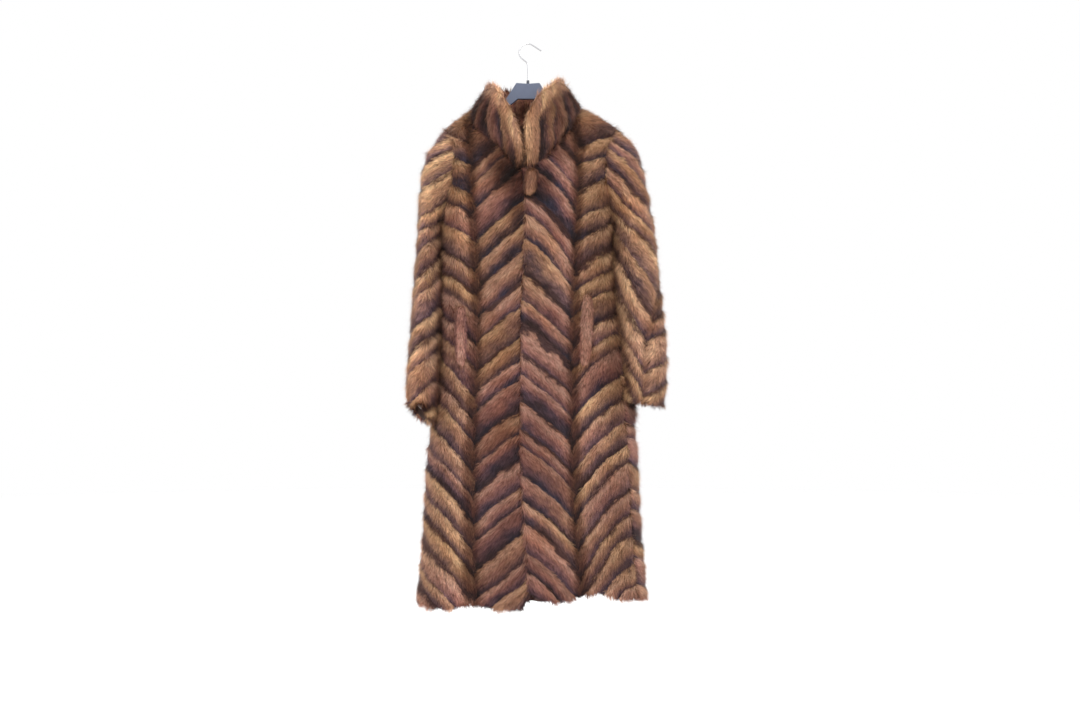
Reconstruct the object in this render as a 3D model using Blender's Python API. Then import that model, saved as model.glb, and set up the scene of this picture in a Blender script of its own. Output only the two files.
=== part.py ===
"""Full-length fur coat on a hanger, pieced from pelt strips sewn in chevrons.

Metres, +Z up. The coat's front faces -Y, so the wearer's left is at +X.
The origin is the inside of the hook's top, where it rests on a rail.

Every panel is one closed wall. Its place is worked out on two forms, the outer one through the tips of
the pile and the inner one through the back of the pelt, from a table of level sections. The strips are
raised in the wall's outer points, a groove at each join and a puffed crest between, over a plain inside.
"""

import math

import bmesh
import bpy
import numpy as np
from mathutils.bvhtree import BVHTree
from mathutils.geometry import delaunay_2d_cdt

WALL = 0.012  # pelt, backing and pile together
RELIEF = 0.005  # a strip's join lies this far below its crest
SEAM_GROOVE = 0.004  # the V seams lie this much deeper still
SEAM_GROOVE_WIDTH = 0.016
SEAM_GAP = 0.0003  # between neighbouring pieces
ARM_GAP = 0.0008  # round the armholes, where the walls turn over
STRIP = 0.060  # one pelt strip, measured down a seam
SQUARENESS = 2.5  # of the level sections: 2 is an ellipse
QUARTER_STEPS = 32
QUARTER_WIDTH = 0.26  # about the length of a quarter of a section
ROW_PARTS = (0.0, 0.36, 0.70)  # the rows of points in each strip: its join and two across its crest
ROW_COLUMNS = (0.12, 0.34, 0.58, 0.80)  # where a row has points between a V seam and a ridge
NEAR_RIM = 0.006  # rows have no points nearer a rim than this
NEAR_CORNER = 0.002  # a long side has no points nearer its ends than this
RIM_FADE = 0.012  # how far from a panel's outline its straight runs are felt
INNER_STEP = 0.060  # spacing of the points inside a plain inner wall
ROWS_FROM, ROWS_TO = -1.36, -0.15  # heights between which the strips are laid
MOST_RISE = 0.2  # no strip climbs more than this across a panel

# The outer form, level section by level section. Right and left are the wearer's.
BODY_COLUMNS = ("height", "right", "left", "front", "back")
BODY_ROWS = (
    (-1.370, 0.272, 0.289, 0.132, 0.114),
    (-1.250, 0.261, 0.279, 0.126, 0.109),
    (-1.150, 0.253, 0.271, 0.121, 0.105),
    (-1.050, 0.248, 0.266, 0.117, 0.101),
    (-0.950, 0.239, 0.260, 0.112, 0.097),
    (-0.900, 0.228, 0.252, 0.110, 0.094),
    (-0.820, 0.217, 0.241, 0.107, 0.091),
    (-0.700, 0.213, 0.228, 0.104, 0.088),
    (-0.550, 0.212, 0.208, 0.103, 0.087),
    (-0.445, 0.208, 0.202, 0.103, 0.088),
    (-0.360, 0.207, 0.206, 0.099, 0.087),
    (-0.290, 0.206, 0.212, 0.088, 0.081),
    (-0.240, 0.205, 0.216, 0.075, 0.072),
    (-0.203, 0.198, 0.214, 0.062, 0.062),
    (-0.188, 0.178, 0.190, 0.056, 0.057),
    (-0.173, 0.154, 0.163, 0.049, 0.052),
    (-0.158, 0.134, 0.136, 0.043, 0.046),
    (-0.140, 0.112, 0.112, 0.036, 0.040),
)
SHOULDER_DROP = 0.006  # the inner form lies lower too where the shoulders slope
SHOULDER_DROP_FROM, SHOULDER_DROP_TO = -0.300, -0.215

# The front V seams: the place across at each height.
PRINCESS_COLUMNS = ("height", "right", "left")
PRINCESS_ROWS = (
    (-1.370, -0.125, 0.128),
    (-1.240, -0.130, 0.122),
    (-1.100, -0.132, 0.111),
    (-0.950, -0.131, 0.107),
    (-0.800, -0.125, 0.106),
    (-0.650, -0.120, 0.108),
    (-0.520, -0.125, 0.112),
    (-0.400, -0.133, 0.118),
    (-0.300, -0.139, 0.121),
    (-0.240, -0.142, 0.121),
    (-0.190, -0.140, 0.110),
    (-0.140, -0.110, 0.085),
)
BACK_PRINCESS_TURN = 1.5

# The side seams, in quarters round from the centre front. The left one creeps forward below the arm.
SIDE_COLUMNS = ("height", "right", "left")
SIDE_ROWS = (
    (-1.370, 1.0, 0.80),
    (-0.900, 1.0, 0.82),
    (-0.700, 1.0, 0.86),
    (-0.560, 1.0, 0.94),
    (-0.460, 1.0, 1.0),
    (-0.140, 1.0, 1.0),
)

# The front edge, which lies on top, and how the two fronts pass each other.
EDGE_COLUMNS = ("height", "across")
EDGE_ROWS = (
    (-1.370, 0.006),
    (-1.274, -0.002),
    (-1.152, -0.010),
    (-1.050, -0.017),
    (-0.950, -0.019),
    (-0.760, -0.017),
    (-0.650, -0.017),
    (-0.550, -0.012),
    (-0.440, -0.007),
    (-0.380, -0.008),
    (-0.290, -0.017),
    (-0.140, -0.020),
)
EDGE_TOP, UNDERLAP_TOP = -0.306, -0.312  # where the two fronts' own edges end, under the collar
UNDERLAP = 0.045  # how far the right front runs on under the left
OVERLAP_LIFT = 0.005  # the left front rises off the inner form there
OVERLAP_GAP = 0.0018
EDGE_PUFF = 0.003  # and its pile stands out
UNDERLAP_WALL = 0.008  # the pile of the right front is pressed flat there
OVERLAP_FADE = 0.035
OVERLAP_BENDS = (0.024, 0.056)  # lines of points in the left front's inner side, past its edge
OVERLAP_STEP = 0.045
UNDERLAP_COLUMNS = (0.14, 0.36, 0.54, 0.70)  # where the right front has points before it is pressed flat

# How far the strips climb from a V seam to the next ridge.
RISE_COLUMNS = ("height", "centre", "side")
RISE_ROWS = (
    (-1.370, 0.122, 0.150),
    (-1.200, 0.124, 0.152),
    (-1.020, 0.120, 0.139),
    (-0.830, 0.112, 0.113),
    (-0.730, 0.105, 0.106),
    (-0.640, 0.104, 0.084),
    (-0.540, 0.116, 0.066),
    (-0.420, 0.130, 0.052),
    (-0.300, 0.132, 0.038),
    (-0.140, 0.132, 0.030),
)

# The lowest edge: height at each turn round the coat.
HEM_COLUMNS = ("turn", "height")
HEM_RIGHT_ROWS = (
    (-2.0, -1.332),
    (-1.5, -1.328),
    (-1.0, -1.338),
    (-0.5, -1.335),
    (-0.08, -1.3366),
    (0.10, -1.322),
    (0.40, -1.306),
)
HEM_LEFT_ROWS = (
    (-0.2, -1.316),
    (0.0, -1.316),
    (0.30, -1.312),
    (0.45, -1.305),
    (0.52, -1.294),
    (0.66, -1.318),
    (1.0, -1.328),
    (1.5, -1.326),
    (2.0, -1.332),
)
HEM_STEPS = 7

# The neckline, from the right front round the back to the left front: turn and height.
NECK_COLUMNS = ("turn", "height")
NECK_ROWS = (
    (-0.092, -0.3060),
    (-0.170, -0.2860),
    (-0.275, -0.2520),
    (-0.400, -0.2290),
    (-0.535, -0.2070),
    (-0.740, -0.1770),
    (-1.000, -0.1580),
    (-1.250, -0.1650),
    (-1.500, -0.1750),
    (-1.750, -0.1810),
    (-2.000, -0.1830),
    (-2.250, -0.1810),
    (-2.500, -0.1730),
    (-2.750, -0.1620),
    (-3.000, -0.1510),
    (-3.270, -0.1660),
    (-3.500, -0.1890),
    (-3.590, -0.2090),
    (-3.680, -0.2350),
    (-3.800, -0.2700),
    (-4.020, -0.3050),
)
NECK_STEPS = 3  # collar columns from one row of the table to the next
RIGHT_SHOULDER_ROW, BACK_RIGHT_ROW, CENTRE_BACK_ROW = 6, 8, 10
BACK_LEFT_ROW, LEFT_SHOULDER_ROW = 12, 14
RIGHT_PRINCESS_ROW, LEFT_PRINCESS_ROW = 5, 16

# The armholes: a lens about the side line, wider towards the shoulder.
ARMHOLE_COLUMNS = ("side", "top", "bottom", "front", "back")
ARMHOLE_ROWS = (
    (-1, -0.205, -0.440, 0.235, 0.210),
    (1, -0.205, -0.440, 0.215, 0.210),
)
ARMHOLE_EGG = 0.25
ARM_STEP = 7.5  # degrees between the points of an armhole
CUFF_STEP = 15
RING_STEP = 2.5  # degrees between the points of a sleeve's forms

# The sleeves, ring by ring below the armhole: the ring's outer and inner points from the front, its
# half depth, how far forward it hangs, and how much higher its front is than its middle.
SLEEVE_COLUMNS = ("outer_x", "outer_z", "inner_x", "inner_z", "deep", "forward", "pitch")
SLEEVE_RIGHT_ROWS = (
    (-0.2205, -0.2290, -0.2110, -0.4470, 0.062, 0.002, 0.000),
    (-0.2430, -0.2620, -0.2125, -0.4560, 0.064, 0.003, 0.000),
    (-0.2560, -0.3040, -0.2140, -0.4660, 0.066, 0.005, 0.000),
    (-0.2625, -0.3600, -0.2145, -0.4800, 0.067, 0.008, 0.000),
    (-0.2660, -0.4200, -0.2140, -0.5000, 0.068, 0.013, 0.000),
    (-0.2695, -0.4850, -0.2135, -0.5300, 0.068, 0.020, 0.000),
    (-0.2740, -0.5550, -0.2135, -0.5750, 0.068, 0.028, 0.000),
    (-0.2790, -0.6300, -0.2145, -0.6400, 0.067, 0.034, 0.002),
    (-0.2845, -0.7100, -0.2180, -0.7150, 0.065, 0.039, 0.004),
    (-0.2910, -0.7900, -0.2230, -0.8000, 0.063, 0.044, 0.009),
    (-0.2915, -0.8350, -0.2250, -0.8520, 0.061, 0.048, 0.013),
    (-0.2890, -0.8650, -0.2270, -0.8950, 0.060, 0.050, 0.016),
)
SLEEVE_LEFT_ROWS = (
    (0.2350, -0.2230, 0.2085, -0.4470, 0.060, 0.002, 0.000),
    (0.2620, -0.2580, 0.2100, -0.4560, 0.061, 0.003, 0.000),
    (0.2765, -0.3030, 0.2110, -0.4660, 0.061, 0.005, 0.000),
    (0.2880, -0.3580, 0.2110, -0.4800, 0.060, 0.008, 0.000),
    (0.2990, -0.4230, 0.2105, -0.5000, 0.059, 0.013, 0.000),
    (0.3090, -0.4890, 0.2100, -0.5300, 0.057, 0.021, 0.000),
    (0.3160, -0.5640, 0.2120, -0.5750, 0.055, 0.028, 0.000),
    (0.3230, -0.6390, 0.2200, -0.6400, 0.053, 0.034, 0.000),
    (0.3300, -0.7200, 0.2305, -0.7150, 0.051, 0.039, 0.000),
    (0.3310, -0.7850, 0.2375, -0.7800, 0.050, 0.044, 0.000),
    (0.3290, -0.8300, 0.2390, -0.8200, 0.049, 0.048, 0.002),
    (0.3270, -0.8640, 0.2360, -0.8480, 0.048, 0.050, 0.004),
)
SLEEVE_SQUARENESS = 2.2
# Where the sleeve's strips turn, in degrees from its outer line towards the front: V and ridge by turns.
SLEEVE_TURNS = {-1: (-15, 120, 210, 285, 345), 1: (60, 150, 240, 330, 420)}
SLEEVE_RISE = {-1: 0.046, 1: 0.058}

# The collar's upper edge at each row of the neckline table: where its wall's middle ends.
COLLAR_COLUMNS = ("x", "y", "z")
COLLAR_TOP_ROWS = (
    (-0.0100, -0.104, -0.268),
    (-0.0188, -0.110, -0.222),
    (-0.0390, -0.104, -0.172),
    (-0.0620, -0.086, -0.128),
    (-0.0800, -0.060, -0.108),
    (-0.0910, -0.030, -0.106),
    (-0.0950, 0.004, -0.107),
    (-0.0890, 0.036, -0.103),
    (-0.0690, 0.056, -0.101),
    (-0.0370, 0.068, -0.105),
    (0.0000, 0.072, -0.108),
    (0.0360, 0.068, -0.104),
    (0.0640, 0.056, -0.097),
    (0.0780, 0.034, -0.094),
    (0.0780, 0.004, -0.095),
    (0.0770, -0.030, -0.094),
    (0.0680, -0.062, -0.097),
    (0.0460, -0.092, -0.118),
    (0.0148, -0.112, -0.150),
    (-0.0042, -0.116, -0.202),
    (-0.0010, -0.109, -0.262),
)
COLLAR_LEVELS = (0.0, 0.16, 0.40, 0.66, 0.88, 1.0)
COLLAR_HALF_WALL = (0.006, 0.0070, 0.0075, 0.0075, 0.0065, 0.003)
COLLAR_ROLL = 0.009  # how far the fur rolls out over the seam, in front
ROLL_COLUMNS = ("turn", "share")
ROLL_ROWS = (
    (-4.0, 1.0),
    (-3.5, 0.9),
    (-3.2, 0.3),
    (-2.8, 0.1),
    (-2.0, 0.5),
    (-1.2, 0.1),
    (-0.8, 0.3),
    (-0.5, 1.0),
)
COLLAR_RELIEF = 0.0035
COLLAR_END, COLLAR_END_WALL = 4, 0.45  # over so many columns its two ends grow from this share of its wall
COLLAR_FREE = 0.66  # below this level the wall still leans as the body's does

# What lies on the fronts: lower and upper end, the middle across, half width, thickness, lean.
ON_FRONT_COLUMNS = ("name", "bottom", "top", "across", "half_width", "thick", "lean")
ON_FRONT_ROWS = (
    ("pocket_welt_right", -0.768, -0.630, -0.1555, 0.0115, 0.008, 0.0),
    ("pocket_welt_left", -0.768, -0.602, 0.1370, 0.0125, 0.008, 0.004),
    ("front_tab", -0.367, -0.307, 0.0070, 0.0145, 0.009, 0.003),
)
ON_FRONT_STEPS_ACROSS, ON_FRONT_STEPS_ALONG = 6, 10
PILLOW_ROUND_END, PILLOW_ROUND_SIDE = 0.62, 0.12  # how far its outline is drawn in
PILLOW_ACROSS, PILLOW_ALONG = 2.5, 4.0  # how square its dome is each way
PILLOW_RIM = 0.0015  # its thickness at the rim

# The hanger.
HANGER_THICK = 0.012
HANGER_EDGE = 0.0012
HANGER_HEAD = ((-0.0278, -0.0930), (0.0, -0.0950), (0.0278, -0.0930))
HANGER_NECK = (0.0504, -0.1284)  # the head's flank, above the arm
HANGER_CROTCH = ((0.0240, -0.1320), (0.0360, -0.1420))  # under the head
HANGER_ARM_DEEP = 0.030
HANGER_SEAT_GAP = 0.0003
HANGER_SEAT_START, HANGER_REACH_RIGHT, HANGER_REACH_LEFT = 0.122, 0.180, 0.194
HANGER_LOOK_FROM = -0.250  # the seats are looked for upwards from here
SHOULDER_PIECES = ("front_{}_side", "back_{}_side", "sleeve_{}_front", "sleeve_{}_back")
HOOK_WIRE = 0.0016  # radius
HOOK_RADIUS = 0.0211  # of the bow's centre line
HOOK_START, HOOK_END = 218, 68  # degrees round the bow
HOOK_TIP = (0.0320, -0.0155)
HOOK_SHANK = ((0.0, -0.0580), (-0.0008, -0.0480), (-0.0040, -0.0425))  # up from the ferrule and out
FERRULE_RADIUS, FERRULE_TALL = 0.0036, 0.0080

PILE_BROWN = (0.30, 0.15, 0.075)
PILE_DARK = (0.17, 0.09, 0.06)
PILE_LIGHT = (0.42, 0.25, 0.16)
HANGER_BLUE = (0.12, 0.15, 0.22)
FERRULE_DARK = (0.08, 0.09, 0.11)
WIRE_STEEL = (0.75, 0.75, 0.77)


def table(columns, rows):
    """The rows as one array for each named column."""
    return {name: np.array([row[i] for row in rows]) for i, name in enumerate(columns)}


def smooth(knots, values, at):
    """Values at the given places on a smooth curve through the knots."""
    knots, values = np.asarray(knots, float), np.asarray(values, float)
    at = np.clip(np.asarray(at, float), knots[0], knots[-1])
    slopes = np.gradient(values, knots, axis=0)
    i = np.clip(np.searchsorted(knots, at, side="right") - 1, 0, len(knots) - 2)
    step = knots[i + 1] - knots[i]
    share = (at - knots[i]) / step
    shape = share.shape + (1,) * (values.ndim - 1)
    step, share = step.reshape(shape), share.reshape(shape)
    start, end = values[i], values[i + 1]
    leave, arrive = slopes[i] * step, slopes[i + 1] * step
    bend = 2 * (start - end) + leave + arrive
    return start + share * (leave + share * (3 * (end - start) - 2 * leave - arrive + share * bend))


def ramp(value, start, end):
    """0 at start, 1 at end, with soft ends."""
    share = np.clip((value - start) / (end - start), 0, 1)
    return share * share * (3 - 2 * share)


def unit(vectors):
    return vectors / np.maximum(np.linalg.norm(vectors, axis=-1, keepdims=True), 1e-12)


# ---------- the two forms of the coat's body ----------

BODY = table(BODY_COLUMNS, BODY_ROWS)
HEIGHTS = np.linspace(BODY["height"][0], BODY["height"][-1], 320)
TURNS = np.linspace(-2, 2, 4 * QUARTER_STEPS + 1)
FRONT_HALF = slice(QUARTER_STEPS, 3 * QUARTER_STEPS + 1)


def quarter(across, deep):
    """A quarter of a level section, evenly spaced from the middle to the side."""
    angle = np.linspace(0, math.pi / 2, 160)
    x = across * np.abs(np.sin(angle)) ** (2 / SQUARENESS)
    y = deep * np.abs(np.cos(angle)) ** (2 / SQUARENESS)
    walked = np.concatenate([[0], np.cumsum(np.hypot(np.diff(x), np.diff(y)))])
    even = np.linspace(0, walked[-1], QUARTER_STEPS + 1)
    return np.interp(even, walked, x), np.interp(even, walked, y)


def section(height, inset):
    """Points once round the coat at one height: centre back, right side, centre front, left side."""
    right, left, front, back = (
        float(smooth(BODY["height"], BODY[column], height)) - inset for column in BODY_COLUMNS[1:]
    )
    parts = []
    for side, across, deep, face, turned in (
        (-1, right, back, 1, False),
        (-1, right, front, -1, True),
        (1, left, front, -1, False),
        (1, left, back, 1, True),
    ):
        x, y = quarter(across, deep)
        points = np.stack([side * x, face * y], axis=1)
        parts.append(points[::-1][:-1] if turned else points[:-1])
    ring = np.concatenate(parts + [parts[0][:1]])
    drop = SHOULDER_DROP * inset / WALL * ramp(height, SHOULDER_DROP_FROM, SHOULDER_DROP_TO)
    return np.column_stack([ring, np.full(len(ring), height - drop)])


OUTER_FORM = np.array([section(height, 0.0) for height in HEIGHTS])
INNER_FORM = np.array([section(height, WALL) for height in HEIGHTS])


def on_form(form, turn, height):
    """The form's point at a turn and a height, read between the nearest four."""
    row = (np.clip(height, HEIGHTS[0], HEIGHTS[-1]) - HEIGHTS[0]) / (HEIGHTS[1] - HEIGHTS[0])
    column = np.mod(np.asarray(turn, float) + 2, 4) * QUARTER_STEPS
    i = np.clip(row.astype(int), 0, len(HEIGHTS) - 2)
    j = np.clip(column.astype(int), 0, len(TURNS) - 2)
    a, b = (row - i)[:, None], (column - j)[:, None]
    low = form[i, j] * (1 - b) + form[i, j + 1] * b
    high = form[i + 1, j] * (1 - b) + form[i + 1, j + 1] * b
    return low * (1 - a) + high * a


def turn_line(columns, rows, column, side):
    """Turns along HEIGHTS for a line on the front that a table gives by its place across."""
    given = table(columns, rows)
    across = smooth(given["height"], given[column], HEIGHTS)
    found = [np.interp(x, ring[FRONT_HALF, 0], TURNS[FRONT_HALF]) for x, ring in zip(across, OUTER_FORM)]
    return np.array(found) if side is None else np.clip(found, *sorted((0, side)))


def level(turn):
    return np.full(len(HEIGHTS), float(turn))


SIDES = table(SIDE_COLUMNS, SIDE_ROWS)
EDGE = table(EDGE_COLUMNS, EDGE_ROWS)
RISE = table(RISE_COLUMNS, RISE_ROWS)
LINES = {
    "right_side": -smooth(SIDES["height"], SIDES["right"], HEIGHTS),
    "left_side": smooth(SIDES["height"], SIDES["left"], HEIGHTS),
    "right_princess": turn_line(PRINCESS_COLUMNS, PRINCESS_ROWS, "right", -1),
    "left_princess": turn_line(PRINCESS_COLUMNS, PRINCESS_ROWS, "left", 1),
    "edge": turn_line(EDGE_COLUMNS, EDGE_ROWS, "across", None),
    "underlap": turn_line(
        EDGE_COLUMNS, [(height, across + UNDERLAP) for height, across in EDGE_ROWS], "across", None
    ),
    "back_right_princess": level(-BACK_PRINCESS_TURN),
    "back_left_princess": level(BACK_PRINCESS_TURN),
    "centre_back_right": level(-2),
    "centre_back_left": level(2),
}


def line_at(name, height):
    return np.interp(height, HEIGHTS, LINES[name])


def neckline():
    """The neckline's points, as turn and height, NECK_STEPS to a row of its table."""
    neck = table(NECK_COLUMNS, NECK_ROWS)
    rows = np.arange(len(NECK_ROWS))
    at = np.linspace(0, rows[-1], rows[-1] * NECK_STEPS + 1)
    turn, height = smooth(rows, neck["turn"], at), smooth(rows, neck["height"], at)
    for row, line in ((RIGHT_PRINCESS_ROW, "right_princess"), (LEFT_PRINCESS_ROW, "left_princess")):
        i = row * NECK_STEPS
        turn[i] = line_at(line, height[i]) - (4 if row > CENTRE_BACK_ROW else 0)
    return np.column_stack([turn, height])


NECKLINE = neckline()


def armhole(side, degrees, grow=0.0):
    """Turn and height on an armhole's edge, from its top towards the front, grown by so many metres."""
    row = table(ARMHOLE_COLUMNS, [r for r in ARMHOLE_ROWS if r[0] == side])
    angle = np.radians(degrees)
    tall = (row["top"] - row["bottom"]) / 2 + grow
    wide = np.where(np.sin(angle) > 0, row["front"], row["back"]) + grow / QUARTER_WIDTH
    height = (row["top"] + row["bottom"]) / 2 + tall * np.cos(angle)
    turn = side * (1 - wide * np.sin(angle) * (1 + ARMHOLE_EGG * np.cos(angle)))
    return np.column_stack([turn, height])


# ---------- strips ----------


def strip_height(phase):
    """0 at the join between two strips, 1 on the crest, fuller towards the upper edge."""
    share = np.mod(phase, 1.0)
    return np.sin(math.pi * share**0.85) ** 0.7


def seam_dip(distance):
    return np.exp(-((distance / SEAM_GROOVE_WIDTH) ** 2))


def raised(outer, inner, phase, from_seam, calm=0.0):
    """The wall's outer points: the form, less the strips' joins and the V seams. Calm flattens them."""
    sunk = RELIEF * (1 - strip_height(phase)) + SEAM_GROOVE * seam_dip(from_seam)
    return outer - unit(outer - inner) * (sunk * (1 - calm))[:, None]


# ---------- solids ----------


def material(name, colour, rough, metal=0.0):
    made = bpy.data.materials.new(name)
    made.use_nodes = True
    shader = made.node_tree.nodes["Principled BSDF"]
    shader.inputs["Base Color"].default_value = (*colour, 1.0)
    shader.inputs["Roughness"].default_value = rough
    shader.inputs["Metallic"].default_value = metal
    return made


def solid(name, points, faces, finish):
    """A closed mesh object with its faces turned outwards."""
    mesh = bpy.data.meshes.new(name)
    mesh.from_pydata([tuple(p) for p in points], [], [tuple(f) for f in faces])
    work = bmesh.new()
    work.from_mesh(mesh)
    bmesh.ops.triangulate(work, faces=work.faces)
    bmesh.ops.recalc_face_normals(work, faces=work.faces)
    work.to_mesh(mesh)
    work.free()
    mesh.shade_smooth()
    mesh.materials.append(finish)
    made = bpy.data.objects.new(name, mesh)
    bpy.context.scene.collection.objects.link(made)
    return made


def triangles(points, edges, loop):
    """Triangles between the points that keep the edges, inside the closed loop of the points' numbers.

    The given points that the triangles use come first, in their own order, with their old numbers.
    """
    edges = edges + list(zip(loop, loop[1:] + loop[:1]))
    found = delaunay_2d_cdt([tuple(p) for p in points], edges, [], 1, 1e-6)
    corners = np.array([tuple(p) for p in found[0]])
    middles = corners[np.array(found[2])].mean(axis=1)
    within = inside(middles, np.array([tuple(points[i]) for i in loop]))
    faces = [tuple(face) for face, kept in zip(found[2], within) if kept]
    used = {i for face in faces for i in face}
    given = {min(found[3][i]): i for i in used if found[3][i]}
    order = [given[k] for k in sorted(given)] + sorted(i for i in used if not found[3][i])
    number = {old: new for new, old in enumerate(order)}
    return corners[order], [tuple(number[i] for i in face) for face in faces], sorted(given)


def rim(faces):
    """The points round the faces' border, in the faces' direction."""
    directed = {(f[i], f[(i + 1) % 3]) for f in faces for i in range(3)}
    following = {a: b for a, b in directed if (b, a) not in directed}
    loop = [min(following)]
    while following[loop[-1]] != loop[0]:
        loop.append(following[loop[-1]])
    return loop


def inside(points, outline):
    """Whether each point is inside the closed outline."""
    x, y = points[:, :1], points[:, 1:]
    a, b = outline, np.roll(outline, -1, axis=0)
    with np.errstate(divide="ignore", invalid="ignore"):
        crossing = a[:, 0] + (y - a[:, 1]) / (b[:, 1] - a[:, 1]) * (b[:, 0] - a[:, 0])
    crossed = ((a[:, 1] > y) != (b[:, 1] > y)) & (x < crossing)
    return crossed.sum(axis=1) % 2 == 1


def to_outline(points, outline):
    """For each point: the nearest stretch of the outline, the share along it, and the distance."""
    a, b = outline[None], np.roll(outline, -1, axis=0)[None]
    run = b - a
    share = np.clip(((points[:, None] - a) * run).sum(2) / np.maximum((run**2).sum(2), 1e-15), 0, 1)
    away = np.linalg.norm(points[:, None] - a - share[..., None] * run, axis=2)
    best = away.argmin(axis=1)
    every = np.arange(len(points))
    return best, share[every, best], away[every, best]


def placed(flat, outline, scale, place):
    """The outer and inner points of flat ones. Near the outline they keep to its straight runs."""
    outer, inner = place(flat / scale)
    nearest, share, away = to_outline(flat, outline)
    after, share = (nearest + 1) % len(outline), share[:, None]
    foot = outline[nearest] * (1 - share) + outline[after] * share
    near = np.clip(1 - away / RIM_FADE, 0, 1)[:, None]
    moved = []
    for points, ends, feet in zip((outer, inner), place(outline / scale), place(foot / scale)):
        run = ends[nearest] * (1 - share) + ends[after] * share
        moved.append(points + near * (run - feet))
    return moved


def panel(name, outline, rows, scale, place, finish, bends=(), step=INNER_STEP, behind=()):
    """A wall over a flat outline. Place turns flat points into the wall's outer and inner points.

    The outline's own points are shared with the next panel's, and the points that the rows add on it
    lie on the straight runs between them, so that two panels meet along one and the same broken line.
    Bends are rows that the inner side needs too, and the rows behind are for the inner side only.
    """
    bends, behind = [row * scale for row in bends], [row * scale for row in behind]
    outline, rows = outline * scale, [row * scale for row in rows] + bends
    points, edges = list(outline), []
    for row in rows:
        edges += [(len(points) + i, len(points) + i + 1) for i in range(len(row) - 1)]
        points += list(row)
    flat, faces, _ = triangles(points, edges, list(range(len(outline))))
    border = rim(faces)
    outer, _ = placed(flat, outline, scale, place)

    low, high = outline.min(axis=0), outline.max(axis=0)
    steps = [np.arange(low[k] + step / 2, high[k], step) for k in (0, 1)]
    grid = np.stack(np.meshgrid(*steps), axis=-1).reshape(-1, 2)
    grid = grid[inside(grid, outline)]
    if len(grid):
        grid = grid[to_outline(grid, outline)[2] > 0.4 * step]
    if bends or behind:
        bent = np.vstack([row[1:-1] for row in [*bends, *behind]])
        bent = bent[inside(bent, outline)]
        bent = bent[to_outline(bent, outline)[2] > NEAR_RIM]
        clear = np.linalg.norm(grid[:, None] - bent, axis=2).min(axis=1) > 0.4 * step
        grid = np.vstack([grid[clear], bent])
    inner_flat = list(flat[border]) + list(grid)
    inner_corners, inner_faces, kept = triangles(inner_flat, [], list(range(len(border))))
    if len(kept) != len(inner_flat):
        print(name, "lost points in its inner wall:", len(inner_flat) - len(kept))
    _, inner_points = placed(inner_corners, outline, scale, place)

    count = len(outer)
    after = border[1:] + border[:1]
    round_walls = enumerate(zip(border, after))
    walls = [(a, b, count + (k + 1) % len(border), count + k) for k, (a, b) in round_walls]
    backs = [tuple(count + i for i in face[::-1]) for face in inner_faces]
    return solid(name, np.vstack([outer, inner_points]), faces + walls + backs, finish)


# ---------- the coat's body ----------

FLAT = np.array([QUARTER_WIDTH, 1.0])
EDGE_SHARE = SEAM_GAP / 2 / (QUARTER_WIDTH * 0.5)  # half a gap, as a share of a panel's width


def body_phase(valley, ridge, rise, turn, height):
    """Where a point lies in its strips, in strips, and its share of the way from valley to ridge."""
    low, high = line_at(valley, height), line_at(ridge, height)
    share = (turn - low) / (high - low)
    climb = np.interp(height, RISE["height"], RISE[rise])
    return (height - share * climb) / STRIP, share


def body_row(valley, ridge, rise, phase, shares):
    """The points of one row of a panel: turn and height at each share of the way to the ridge."""
    height = np.full(len(shares), phase * STRIP)
    for _ in range(8):
        height = phase * STRIP + shares * np.interp(height, RISE["height"], RISE[rise])
    low, high = line_at(valley, height), line_at(ridge, height)
    return np.column_stack([low + shares * (high - low), height])


def body_rows(valley, ridge, rise, columns=ROW_COLUMNS):
    """All rows of a panel, from one seam to the other."""
    shares = np.array([EDGE_SHARE, *columns, 1 - EDGE_SHARE])
    strips = range(math.floor((ROWS_FROM - MOST_RISE) / STRIP), math.ceil(ROWS_TO / STRIP) + 1)
    return [body_row(valley, ridge, rise, k + part, shares) for k in strips for part in ROW_PARTS]


def body_place(valley, ridge, rise, layer):
    """The outer and inner points of a body panel. Layer is over or under where the fronts pass."""

    def place(flat):
        turn, height = flat[:, 0], flat[:, 1]
        outer, inner = on_form(OUTER_FORM, turn, height), on_form(INNER_FORM, turn, height)
        out = unit(outer - inner)
        phase, share = body_phase(valley, ridge, rise, turn, height)
        width = np.linalg.norm(np.ptp(outer[:, :2], axis=0)) if len(outer) else 0.12
        face = raised(outer, inner, phase, np.abs(share) * min(width, 0.12))
        past = outer[:, 0] - np.interp(height, EDGE["height"], EDGE["across"])
        if layer == "over":
            near = (1 - ramp(past, OVERLAP_BENDS[1], OVERLAP_BENDS[1] + OVERLAP_FADE))[:, None]
            face = face + out * EDGE_PUFF * near
            inner = inner + out * OVERLAP_LIFT * near
        if layer == "under":
            near = ramp(past, -OVERLAP_FADE, -0.003)[:, None]
            pressed = inner + out * (OVERLAP_LIFT - OVERLAP_GAP)
            face = face * (1 - near) + pressed * near
            inner = inner * (1 - near) + (pressed - out * UNDERLAP_WALL) * near
        return face, inner

    return place


def seam_points(valley, ridge, rise, share, low, high):
    """The points of a panel's long side where its rows end, between two heights."""
    shares = np.array([share])
    strips = range(math.floor((low - MOST_RISE) / STRIP), math.ceil(high / STRIP) + 1)
    found = [body_row(valley, ridge, rise, k + part, shares)[0] for k in strips for part in ROW_PARTS]
    found = np.array([p for p in found if low + NEAR_CORNER < p[1] < high - NEAR_CORNER])
    return found[np.argsort(found[:, 1])]


def seam_end(valley, ridge, share, height):
    low, high = line_at(valley, height), line_at(ridge, height)
    return np.array([[low + share * (high - low), height]])


def hem_height(turn, left):
    hem = table(HEM_COLUMNS, HEM_LEFT_ROWS if left else HEM_RIGHT_ROWS)
    return smooth(hem["turn"], hem["height"], turn)


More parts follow.
